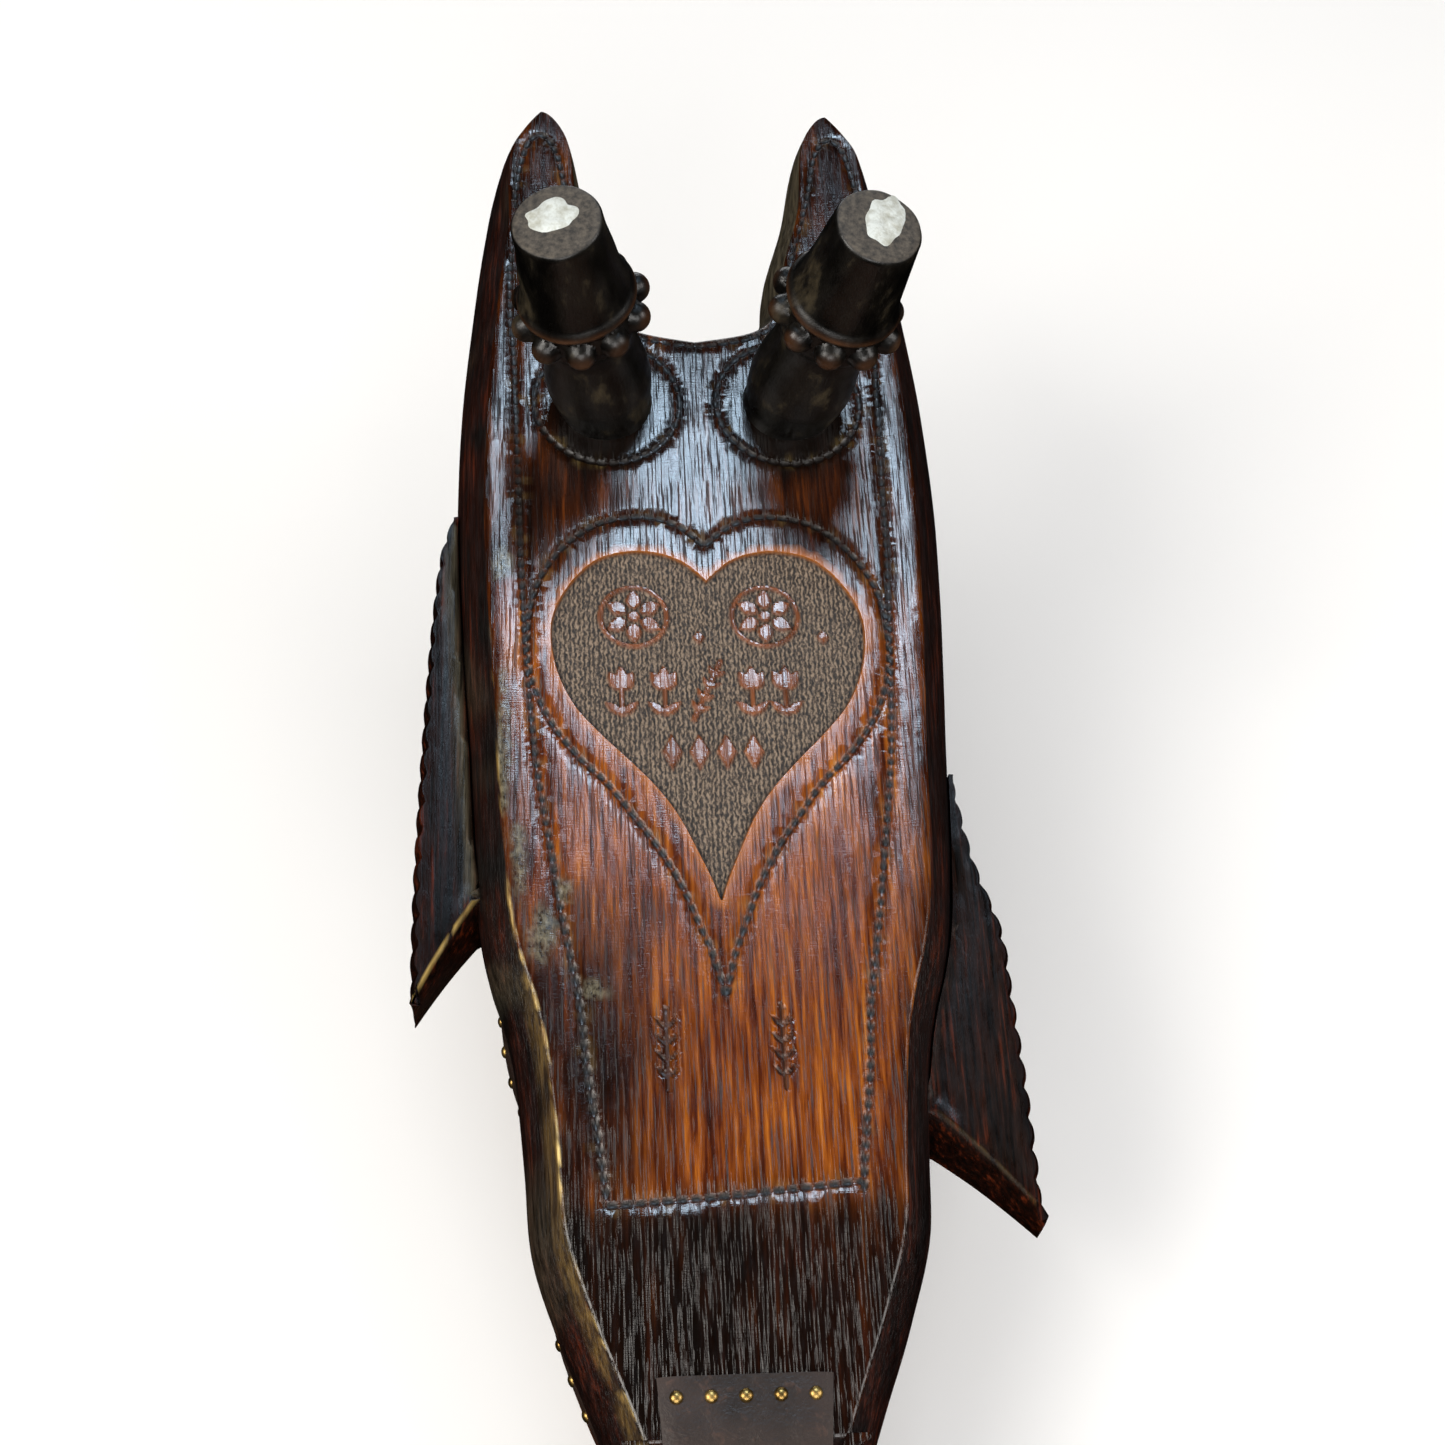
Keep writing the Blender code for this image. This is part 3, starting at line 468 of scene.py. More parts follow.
def post_wood():
    """Nearly black, hand-rubbed wood with an olive bloom and warm spots, partly rubbed and partly painted glint.
    """
    s = Shader("post_wood")
    mottle = s.noise((0.09, 0.09, 0.05), 4, 0.6)
    grain = s.noise((0.8, 0.8, 0.05), 3, 0.6)
    colour = s.ramp(mottle, [(0.42, (0.0012, 0.0009, 0.0006)), (0.56, (0.004, 0.003, 0.0017)),
                             (0.70, (0.034, 0.025, 0.012))])
    # Warm spots on the collar ridge and the bead tops: partly rubbed, partly painted glint.
    colour = s.mix(s.math('MULTIPLY', s.attribute("wear"), 0.85), colour, (0.13, 0.050, 0.017))
    end = s.ramp(s.noise((0.5, 0.5, 0.5), 4, 0.7), [(0.35, (0.022, 0.017, 0.012)),
                                                  (0.65, (0.095, 0.078, 0.058))])
    colour = s.painted(colour, sawn=end)
    roughness = s.mix(s.attribute("sawn"), s.ramp(mottle, [(0.3, 0.26), (0.7, 0.46)]),
                      (0.75, 0.75, 0.75))
    normal = s.bump(grain, 0.3, 0.3)
    normal = s.bump(s.noise((0.6, 0.6, 0.6), 4, 0.7), 0.2, 0.4, normal)
    return s.finish(colour, roughness, normal)


def wing_wood():
    """Black-brown wing with red streaks, a painted sheen strip by the board and a painted glint along the lower
    edge.
    """
    s = Shader("wing_wood")
    streak, _, figure = wood_grain(s, 2.6, 0.7)
    colour = s.ramp(figure, [(0.42, (0.002, 0.001, 0.0007)), (0.55, (0.011, 0.0025, 0.001)),
                             (0.70, (0.10, 0.016, 0.004))])
    wax = s.ramp(streak, [(0.38, (0.010, 0.008, 0.005)), (0.62, (0.085, 0.075, 0.050))])
    # Painted light on the left wing: a sheen strip by the board and a glint along the lower edge.
    colour = s.painted(colour, wax=wax, wear=(0.50, 0.34, 0.10))
    roughness = s.ramp(s.noise((0.5, 0.1, 0.5), 3, 0.6), [(0.3, 0.24), (0.75, 0.46)])
    normal = s.bump(streak, 0.45, 0.6)
    normal = s.bump(s.noise((0.8, 0.3, 0.8), 3, 0.6), 0.25, 0.4, normal)
    return s.finish(colour, roughness, normal, Specular_IOR_Level=0.14)


def leather(name, dark, light):
    s = Shader(name)
    pebble = s.cells((0.9, 0.9, 0.9))
    mottle = s.noise((0.03, 0.03, 0.03), 4, 0.6)
    colour = s.ramp(mottle, [(0.32, dark), (0.68, light)])
    creases = s.noise((0.16, 0.16, 0.35), 4, 0.7, 0.6)
    colour = s.mix(s.ramp(creases, [(0.56, 0), (0.72, 0.45)]), colour, tuple(3 * c for c in light))
    roughness = s.ramp(mottle, [(0.3, 0.42), (0.7, 0.62)])
    normal = s.bump(pebble, 0.35, 0.25)
    normal = s.bump(creases, 0.5, 0.9, normal)
    return s.finish(colour, roughness, normal)


def metal(name, dark, light, roughness, rust=None):
    s = Shader(name)
    mottle = s.noise((0.12, 0.12, 0.12), 5, 0.65)
    colour = s.ramp(mottle, [(0.35, dark), (0.65, light)])
    sheen = s.ramp(mottle, [(0.3, roughness), (0.7, roughness + 0.22)])
    if rust:
        spots = s.ramp(s.noise((0.35, 0.35, 0.35), 5, 0.7), [(0.56, 0), (0.68, 1)])
        colour = s.mix(spots, colour, rust)
        sheen = s.mix(spots, sheen, (0.8, 0.8, 0.8))
    normal = s.bump(s.noise((0.4, 0.4, 0.4), 3), 0.25, 0.3)
    return s.finish(colour, sheen, normal, Metallic=1.0)


def filler():
    s = Shader("white_filler")
    lumps = s.noise((0.22, 0.22, 0.22), 4, 0.6)
    colour = s.ramp(lumps, [(0.30, (0.34, 0.34, 0.28)), (0.55, (0.60, 0.64, 0.62))])
    normal = s.bump(lumps, 0.6, 1.2)
    normal = s.bump(s.noise((1.2, 1.2, 1.2), 3), 0.2, 0.3, normal)
    return s.finish(colour, 0.62, normal)


# ---- front board ----
# Side wall from the back up to the carved face: how far in, at what height.
WALL = [(0.8, -30), (0, -29), (0, -20), (0.4, -17), (1.5, -13.4), (3.2, -9.8), (5.4, -6.4),
        (7.7, -3.5), (9.4, -1.6), (10.2, -0.7), (10.8, -0.2), (11.6, 0)]


def shoulder_share(points):
    """The shoulder is full along the sides, less on the horns and slight in the notch."""
    x, y = np.abs(points[:, 0]), points[:, 1]
    notch_line = 44 + 0.12 * (y - 168)
    in_notch = ease(y, 150, 165) * (1 - ease(x, notch_line - 6, notch_line + 8))
    return (1 - 0.62 * ease(y, 215, 262)) * (1 - 0.35 * in_notch)


def rope_lines():
    """Every roped groove as evenly walked points with the distance along it."""
    lines = []
    for half in (HEART_LINE, BORDER):
        path, at = even(smooth(half, 12), 0.25)
        lines += [(path, at), (path * (-1, 1), at)]
    turn = np.linspace(0, tau, 700)
    ring = np.stack([np.cos(turn), np.sin(turn)], 1) * RING_R
    for side in (-1, 1):
        lines.append((ring + (side * (POST_X - 0.5), POST_Y), turn * RING_R))
    lines.append(even(smooth(BOTTOM_LINE, 12), 0.25))
    return lines


def strokes(points, segments, radius):
    """Signed distance to a set of round-ended strokes, negative inside."""
    best = np.full(len(points), 1e9)
    for x0, y0, x1, y1 in segments:
        start, run = np.array([x0, y0]), np.array([x1 - x0, y1 - y0])
        t = np.clip(((points - start) @ run) / max(run @ run, 1e-9), 0, 1)
        best = np.minimum(best, np.linalg.norm(points - start - t[:, None] * run, axis=1))
    return best - radius


def petal(points, x, y, length, width, angle):
    """Pointed leaf from its root at (x, y), as a signed distance."""
    c, s = cos(angle), sin(angle)
    along = (points[:, 0] - x) * c + (points[:, 1] - y) * s
    across = np.abs(-(points[:, 0] - x) * s + (points[:, 1] - y) * c)
    t = np.clip(along / length, 0, 1)
    swell = width / 2 * np.sin(pi * t ** 0.8)
    beyond = np.maximum(-along, along - length)
    return np.maximum(across - swell, beyond)


def lozenge(points, x, y, width, height):
    return ((np.abs(points[:, 0] - x) / width + np.abs(points[:, 1] - y) / height) - 1) \
        * min(width, height) * 0.7


def rosette(points, x, y, radius):
    found = strokes(points, [(x, y, x, y)], radius * 0.2)
    for i in range(6):
        angle = pi / 6 + i * pi / 3
        out, up = polar(0.26 * radius, angle)
        found = np.minimum(found, petal(points, x + out, y + up, radius * 0.74, radius * 0.5, angle))
    ring = np.abs(np.hypot(points[:, 0] - x, points[:, 1] - y) - radius * 1.08) - radius * 0.075
    return np.minimum(found, ring)


def tulip(points, x, y, height):
    """A small flower on a stem, with two leaves."""
    found = strokes(points, [(x, y, x, y + height * 0.55)], 0.75)
    for rise, lean, length, width in ((0.5, 0, 0.52, 0.26), (0.5, 0.55, 0.46, 0.26),
                                      (0.5, -0.55, 0.46, 0.26), (0, 0.85, 0.42, 0.17),
                                      (0, -0.85, 0.42, 0.17)):
        found = np.minimum(found, petal(points, x, y + height * rise, height * length,
                                        height * width, pi / 2 + lean))
    return found


def sprig(points, x, y, height, lean):
    """A stem with pairs of leaves."""
    top = (x + height * tan(lean), y + height)
    found = strokes(points, [(x, y, *top)], 0.9)
    for i in range(4):
        t = 0.15 + 0.22 * i
        at_x, at_y = x + (top[0] - x) * t, y + height * t
        for turn in (0.75, -0.75):
            found = np.minimum(found, petal(points, at_x, at_y, height * 0.24, height * 0.085,
                                            pi / 2 - lean + turn))
    return np.minimum(found, petal(points, *top, height * 0.16, height * 0.09,
                                   pi / 2 - lean))


def raised_motifs(points):
    """What stands up out of the heart's sunk field."""
    shapes = [sprig(points, -6.5, 2, 21, 0.42)]
    shapes += [rosette(points, x, 43, 11) for x in (-26.5, 20.5)]
    shapes += [lozenge(points, x, 34.5, 2.4, 2.8) for x in (-3.5, 41)]
    shapes += [tulip(points, x, 4, 19) for x in (-31.5, -16.5, 14.5, 26.5)]
    shapes += [lozenge(points, x, -10.5, 3.6, 7.0) for x in (-14.5, -5, 4.5, 14)]
    return np.minimum.reduce(shapes)


def cut_motifs(points):
    """What is incised below the heart's tip."""
    return np.minimum(*[sprig(points, x, -131, 25, 0.0) for x in (-20, 18)])


LINES = rope_lines()
FIELD = mirror_loop(smooth(HEART_FIELD, 12))


def face_points(ridge):
    """Points over the carved face: coarse on the plain wood, dense along the carving."""
    groups = []
    for path, _ in LINES:
        line, _ = even(path, ROPE_PITCH / 4)
        groups += [line + normals_of(line) * offset
                   for offset in (-1.55, -1.0, -0.35, 0.35, 1.0, 1.55)]
    rim = walk_round(FIELD, 0.9)
    groups += [rim + normals_of(rim) * offset for offset in (-0.15, 0.45)]
    carving = np.vstack(groups)
    fine = grid((-57, 57.01), (-68, 70), FIELD_STEP, FIELD_STEP)
    fine = clear_of(fine[inside(fine, FIELD)], rim, 0.55)
    cuts = grid((-34, 34.01), (-134, -98), CUT_STEP, CUT_STEP)
    cuts = cuts[cut_motifs(cuts) < 2.0]
    coarse = grid((-92, 92), (-250, 280), PLAIN_STEP, PLAIN_STEP)
    coarse[:, 0] += 0.4 * np.sin(coarse[:, 1])
    coarse = clear_of(coarse[~inside(coarse, FIELD)], np.vstack([carving, cuts]), 1.7)
    cuts = clear_of(cuts, carving, 0.5)
    points = np.vstack([carving, fine, cuts, coarse])
    return clear_of(points[inside(points, ridge)], walk_round(ridge, 1.0), 1.1)


def face_relief(points):
    """Height of the carving at each point, and the masks that colour it."""
    height = 0.22 * rough(points, 34, 1.5) + 0.07 * rough(points, 7, 4.0)
    rope_points = np.vstack([path for path, _ in LINES])
    rope_at = np.concatenate([at for _, at in LINES])
    distance, index = nearest(points, rope_points)
    bead = 0.5 + 0.5 * np.cos(tau * rope_at[index] / ROPE_PITCH)
    groove = 1 - ease(distance, 0.25, ROPE_HALF)
    fade = 0.75 + 0.25 * rough(points, 16, 9.0)
    height -= groove * fade * (1.25 - 0.75 * bead ** 3)
    lip = np.exp(-((distance - ROPE_HALF) / 0.5) ** 2)
    in_field = inside(points, FIELD)
    from_rim, _ = nearest(points, walk_round(FIELD, 0.4))
    sunk = np.where(in_field, ease(from_rim, 0.0, 0.6), 0.0)
    raised = raised_motifs(points)
    motif = 1 - ease(raised, -0.45, 0.25)
    floor = -FIELD_DEPTH + 0.22 * rough(points, 1.5, 2.0) + 0.12 * rough(points, 6, 8.0)
    top = -0.55 + 0.12 * rough(points, 4, 7.0)
    height = height * (1 - sunk) + sunk * (floor * (1 - motif) + top * motif)
    cut = 1 - ease(cut_motifs(points), -0.9, 0.35)
    height -= 1.25 * cut
    return {"height": height, "groove": groove * (1 - 0.85 * bead ** 2), "lip": lip, "sunk": sunk,
            "motif": motif * sunk, "cut": cut, "rim": np.exp(-(from_rim / 0.7) ** 2)}


def board_masks(points):
    """Broad colouring: darker towards the edges, the horns and the bottom left."""
    u, v = points[:, 0], points[:, 1]
    spot = rough(points, 26, 3.0)
    fine = rough(points * (1, 0.25), 6, 6.0)
    edge = ease(np.abs(u) / half_width(v), 0.66, 0.92)
    left_low = ease(-u, 8, 44) * ease(-v, 45, 100)
    upper = 0.92 * ease(v, 0, 80)
    bottom = ease(-v, 152, 178)
    dark = np.maximum.reduce([edge * 0.75, left_low, upper, bottom])
    return np.clip(dark + 0.24 * spot + 0.2 * fine, 0, 1), spot, fine


def stain_bands(points):
    """Black bands across the left side wall, where something iron once lay."""
    v = points[:, 1]
    bands = sum(np.exp(-((v - at) / 8.0) ** 2) for at in (120, 78, 36, -6, -52, -98))
    return np.clip(bands, 0, 1)


def blotch(points, x, y, rx, ry, seed):
    """An uneven oval patch."""
    reach = np.hypot((points[:, 0] - x) / rx, (points[:, 1] - y) / ry)
    return 1 - ease(reach + 0.5 * rough(points, 5, seed), 0.65, 1.15)


def front_board():
    """The carved board, and how many of its faces are side wall."""
    outline = mirror_loop(BOARD_HALF)
    inward = -normals_of(outline, True)
    count = len(outline)
    share = shoulder_share(outline)
    verts, faces = [], []
    for inset, w in WALL:
        ring = outline + inward * (inset * share)[:, None]
        wavy = 0.35 * rough(ring, 40, w / 20) * min(max(-w / 6, 0), 1)
        ring -= inward * np.minimum(wavy, 0)[:, None]
        verts += [(x, y, w) for x, y in ring]
    skin(faces, len(WALL), count)
    ridge = np.array(verts[-count:])[:, :2]
    first = len(verts)
    fresh, triangles = cap(ridge, face_points(ridge), first - count)
    relief = face_relief(fresh)
    verts += [(x, y, z) for (x, y), z in zip(fresh, relief["height"])]
    faces += [*triangles, range(count)[::-1]]
    board = mesh_object("front_board_carved", verts, faces, 35, FACE)
    paint_board(board, np.array(verts), relief, first)
    return board, (len(WALL) - 3) * count


def paint_board(board, verts, relief, first):
    """Put the masks on the board; relief has the carving's from vertex first on."""
    points, w = verts[:, :2], verts[:, 2]
    u, v = points[:, 0], points[:, 1]
    dark, spot, fine = board_masks(points)
    left = u < 0
    dirt, soot, ground, motif, rim = np.zeros((5, len(verts)))
    face = slice(first, None)
    dirt[face] = np.clip(1.5 * relief["groove"] + 0.8 * relief["cut"], 0, 1) \
        * (1 - relief["motif"])
    inner_rim = relief["rim"] * relief["sunk"]
    dirt[face] = np.maximum(dirt[face], 0.75 * inner_rim * (1 - relief["motif"]))
    # Painted highlight: orange along the top edge just outside the heart's sunk field.
    rim[face] = relief["rim"] * (1 - relief["sunk"])
    ground[face] = relief["sunk"] * (1 - relief["motif"])
    motif[face] = relief["motif"]
    # Painted shadow: a near-black patch round each post's foot, reaching further below it, stands for the post's
    # shadow and reflection on the polish.
    for side in (-1, 1):
        reach = np.hypot(u - side * POST_X, (v - POST_Y + 5) * 0.85)
        soot = np.maximum(soot, 0.96 * (1 - ease(reach + 3.5 * fine, 18, 30)))
    # Darker below the carved bottom line.
    below = ease(-v, 165, 172) * (1 - 0.45 * ease(u, -15, 40))
    soot = np.maximum(soot, below * np.clip(0.78 + 0.3 * fine, 0, 1))
    out = half_width(v) - np.abs(u)
    on_wall = (w < -0.5) & ((out < 12) | (v > 150))
    bands = left * stain_bands(points) * ease(fine, -0.5, 0.2)
    dirt = np.where(on_wall, np.maximum(dirt, bands), dirt)
    # Painted highlight: a broken golden line along the left ridge, and lower down a broader band on the left wall;
    # the right side gets none.
    sparkle = ease(rough(points * (1, 0.5), 3.2, 5.0), -0.15, 0.30)
    ridge_line = 1 - ease(np.abs(out - 10.6), 0.35, 1.1)
    wear = ridge_line * (w > -2.5) * left * (v < 60) * ease(-v, -45, 30) * sparkle
    low_band = ease(-v, 88, 112) * (1 - ease(np.abs(out - 9.0), 0.6, 2.0)) * left * on_wall
    wear = np.maximum(wear, 0.42 * low_band * ease(fine, -0.7, 0.1))
    # Light rubbing on the lips of the roped grooves, outside the heart.
    wear[face] = np.maximum(wear[face], 0.14 * relief["lip"] * (1 - relief["sunk"])
                            * ease(rough(points[face], 6, 5.0), 0.05, 0.5))
    notch_side = (np.abs(u) < 48) & (v > 160)
    olive = np.where(on_wall & notch_side, 0.9, 0.35 * on_wall * left * ease(spot, 0.1, 0.5))
    spots = ((-60, -77, 5, 10), (-68, -50, 2.5, 15), (-43, -97, 4, 4), (-52, -62, 3, 5),
             (-72.5, -8, 2.2, 32), (-73, 64, 4, 5))
    wax = 0.9 * np.maximum.reduce([blotch(points, *at, seed) for seed, at in enumerate(spots, 1)])
    dark = dark * (1 - 0.9 * blotch(points, -71, 46, 5, 13, 7))
    hole = 1 - ease(np.hypot(u + 56, v + 74), 1.6, 2.8)
    dirt = np.maximum(dirt, hole)
    put_masks(board, dark=dark, soot=soot, dirt=dirt, ground=ground, motif=motif, rim=rim,
              wear=wear, olive=olive, wax=wax)


# ---- grip posts ----
# Radius at each distance out of the carved face.
POST_PROFILE = [(-4, 17.0), (2, 17.2), (8, 18.4), (16, 19.4), (24, 19.0), (34, 17.4),
                (42, 16.9), (48, 17.6), (51.5, 19.3), (56, 20.2), (61, 20.2), (63.6, 20.0),
                (64.8, 20.7), (66.4, 21.2), (68, 20.6), (69.8, 19.4), (73, 18.6), (80, 17.7),
                (90, 16.7), (100, 15.9), (104.4, 15.6)]
BEADS = 10
BEAD_R = 5.4
BEAD_RING_R = 20.1
BEAD_HEIGHT = 58.2
TENON_FOOT = -26.2
COLLAR_HEIGHT = 66.4
CHAMFER_FROM, CHAMFER_DEPTH = 104.2, 1.1
SAWN_ABOVE = 105.2
POST_SIDES = 150


def post_place(side):
    foot = Vector((side * POST_X, POST_Y, 0)) * MM
    return FACE @ Matrix.Translation(foot) @ Matrix.Rotation(side * POST_SPLAY, 4, 'Y')


def post_radius(height, angle, phase):
    """Radius of the turned and beaded post in one direction."""
    radius = np.interp(height, [h for h, _ in POST_PROFILE], [r for _, r in POST_PROFILE])
    step = tau / BEADS
    off = (angle - phase + step / 2) % step - step / 2
    across = BEAD_RING_R * sin(off)
    left = BEAD_R ** 2 - (height - BEAD_HEIGHT) ** 2 - across ** 2
    if left > 0:
        radius = max(radius, BEAD_RING_R * cos(off) + sqrt(left))
    return radius


def grip_post(name, side, material):
    """A turned post: round tenon, profile with a ring of beads, and a sawn end."""
    heights = [*np.arange(-4, 48, 2.0), *np.arange(48, 72, 0.62), *np.arange(72, 103.5, 2.2),
               CHAMFER_FROM, 105.0, 105.5]
    phase = 0.31 if side < 0 else 0.12
    verts = [(*polar(TENON_R, angle), height) for height in (TENON_FOOT, -4)
             for angle in turns(POST_SIDES)]
    wear, sawn = [0.0] * len(verts), [0.0] * len(verts)
    for height in heights:
        for angle in turns(POST_SIDES):
            radius = post_radius(min(height, POST_PROFILE[-1][0]), angle, phase)
            shape = Vector((*polar(1.4, angle), height / 14))
            radius += 0.45 * noise.noise(shape + Vector((side * 7, 0, 0)))
            radius -= CHAMFER_DEPTH * max(0.0, (height - CHAMFER_FROM) / 1.3) ** 2
            verts.append((*polar(radius, angle), height))
            # Warm spots on the collar ridge and the bead tops: partly rubbed, partly painted glint.
            rim = exp(-((height - COLLAR_HEIGHT) / 1.2) ** 2)
            patch = 0.5 + 0.5 * noise.noise(shape * 1.7)
            bead = max(0.0, (radius - 23.2) / 2.5) if 50 < height < 63 else 0.0
            wear.append(min(1.0, 0.6 * patch * max(rim, bead)))
            sawn.append(1.0 if height > SAWN_ABOVE else 0.0)
    last = verts[-POST_SIDES:]
    for share, sink in ((0.85, 0.05), (0.6, 0.1), (0.3, 0.12)):
        for x, y, _ in last:
            dent = 0.25 * noise.noise((x * share / 5, y * share / 5, side))
            verts.append((x * share, y * share, POST_LENGTH - sink - 0.1 + dent))
            wear.append(0.0)
            sawn.append(1.0)
    faces = [range(POST_SIDES)[::-1], range(len(verts) - POST_SIDES, len(verts))]
    skin(faces, len(verts) // POST_SIDES, POST_SIDES)
    post = mesh_object(name + "_turned", verts, faces, 38, post_place(side))
    put_masks(post, wear=wear, sawn=sawn)
    dress(post, "front", material, "dark_wood", name)


def post_filler(name, side, material):
    """An uneven lump of white filler pressed into the post's sawn end."""
    if side < 0:
        middle, reach, lean = Vector((-1.5, 2.0)), (9.6, 7.2), Matrix.Rotation(0.2, 2)
    else:
        middle, reach, lean = Vector((2.0, 3.0)), (7.6, 11.4), Matrix.Rotation(-0.3, 2)
    around, rings = 44, 7
    verts, faces = [], []
    for ring in range(rings):
        share = 1 - ring / rings
        for angle in turns(around):
            wobble = 1 + 0.28 * noise.noise((*polar(1.6, angle), side * 3.3))
            x, y = polar(share * wobble, angle)
            x, y = middle + lean @ Vector((reach[0] * x, reach[1] * y))
            lump = 0.55 * noise.noise((x / 3.2, y / 3.2, side * 2))
            rise = 1.15 * (1 - share ** 4) + lump * (1 - share ** 3)
            verts.append((x, y, POST_LENGTH - 0.5 + rise))
    verts = [(x, y, POST_LENGTH - 2.4) for x, y, _ in verts[:around]] + verts
    skin(faces, rings + 1, around)
    faces += [range(around)[::-1], range(len(verts) - around, len(verts))]
    plug = mesh_object(name + "_lump", verts, faces, 60, post_place(side))
    dress(plug, "front", material, "filler", name)


# ---- wings ----
def wing(name, side, edge, root_v, material):
    """Barbed wing: roped outer edge, broad bevel along the lower edge."""
    outer, walked = even(smooth(edge, 12), 1.1)
    dip = 1.5 * (1 - np.abs(np.sin(pi * walked / 10.5))) ** 1.3
    dip *= ease(walked[-1] - walked, 3, 12)
    outer[:, 0] = np.maximum(outer[:, 0] - dip, half_width(outer[:, 1]) + 1.3)
    tip, root = outer[-1], np.array([half_width(root_v) - WING_HOUSED, root_v])
    along = np.linspace(0, 1, 16)[1:]
    lower = tip + (root - tip) * along[:, None]
    lower[:, 1] += 1.2 * np.sin(pi * along)
    inner_v = np.linspace(root_v, edge[0][1], 40)[1:]
    inner = np.stack([half_width(inner_v) - WING_HOUSED, inner_v], 1)
    loop = np.vstack([outer, lower, inner])
    count, low_from, low_to = len(loop), len(outer), len(outer) + len(lower) - 1

    def width(v):
        return np.interp(v, outer[::-1, 1], outer[::-1, 0]) - half_width(v)

    bevel = np.concatenate([1.5 * ease(np.arange(low_from), low_from - 6, low_from - 1),
                            1.5 + 10.0 * along ** 0.7,
                            11.5 * (1 - ease(np.arange(len(inner)), 0, 7))])
    thin = np.clip(width(loop[:, 1]) / 14, 0.12, 1)
    thin[low_to:] = 0
    facing = normals_of(loop, True)
    verts, faces, wear = [], [], []
    for inset, lift in WING_ROWS:
        ring = loop + facing * (inset * thin)[:, None]
        ring[:, 1] += bevel * lift
        w = WING_BACK + (WING_FACE - WING_BACK) * lift
        for i, (x, y) in enumerate(ring):
            verts.append((side * x, y, w))
            # Painted highlight: a broken glint along the top of the lower edge's bevel.
            glint = 0.5 + 0.9 * noise.noise((x / 2.5, y / 2.5, 4.0))
            worn_and_highlit = low_from <= i < low_to and inset == GLINT_INSET
            wear.append(max(0.0, glint) if worn_and_highlit else 0.0)
    skin(faces, len(WING_ROWS), count)
    wax = [0.0] * len(verts)
    border = np.array(verts[-count:])[:, :2]
    within = grid(*zip(border.min(0), border.max(0)), 2.2, 4.0)
    within = clear_of(within[inside(within, border)], walk_round(border, 1.0), 1.2)
    fresh, triangles = cap(border, within, len(verts) - count)
    for x, y in fresh:
        reach = abs(x) - half_width(y)
        wide = max(width(y), 1)
        hollow = -1.6 * exp(-(reach / (0.30 * wide)) ** 2)
        swell = 0.5 * sin(pi * min(reach / wide, 1))
        verts.append((x, y, WING_FACE + hollow + swell))
        wear.append(0.0)
        # Painted sheen: a light strip in the left wing's hollow by the board; the right wing gets only a faint
        # even trace.
        wax.append(exp(-((reach - 1.5) / 2.6) ** 2) if side < 0 else 0.04)
    faces += [*triangles, range(count)[::-1]]
    made = mesh_object(name + "_carved", verts, faces, 45, FACE)
    turned = bmesh.new()
    turned.from_mesh(made.data)
    bmesh.ops.recalc_face_normals(turned, faces=turned.faces)
    turned.to_mesh(made.data)
    turned.free()
    # The right wing keeps only a trace of the painted glint.
    put_masks(made, wear=wear if side < 0 else [x * 0.06 for x in wear], wax=wax)
    dress(made, "front", material, "dark_wood", name)


# ---- leather ----
BACK_LINER_TOP = 20.3
PIN_TO_BACK_LINER = BACK_LINER_TOP - HINGE.z
PIN_TO_FRONT_LINER = FACE_ABOVE_PIN - BOARD_T - GAP - LINER_T
LEATHER_T = 1.5


def chamber_path():
    """The leather's plan, from one side of the block round the tail to the other."""
    levels = np.linspace(CHAMBER_FRONT_Y, TAIL_START_Y, 24)[:-1]
    side = [(x - CHAMBER_INSET, y) for x, y in zip(half_width(levels), levels)]
    tail_x = half_width(TAIL_START_Y) - CHAMBER_INSET
    turn = np.linspace(0, pi / 2, 13)
    side += [(tail_x * cos(t), TAIL_START_Y + (TAIL_END_Y - TAIL_START_Y) * sin(t))
             for t in turn]
    half = [(31, -246), (32.5, -234), (36, -222)] + side
    return smooth(half + [(-x, y) for x, y in half[-2::-1]], 4)


def swung(x, y, above_pin, part):
    """A plan point raised to its height and turned part of the way to the front board."""
    angle = OPEN * part
    reach = y - HINGE.y
    return (x, HINGE.y + reach * cos(angle) - above_pin * sin(angle),
            HINGE.z + reach * sin(angle) + above_pin * cos(angle))


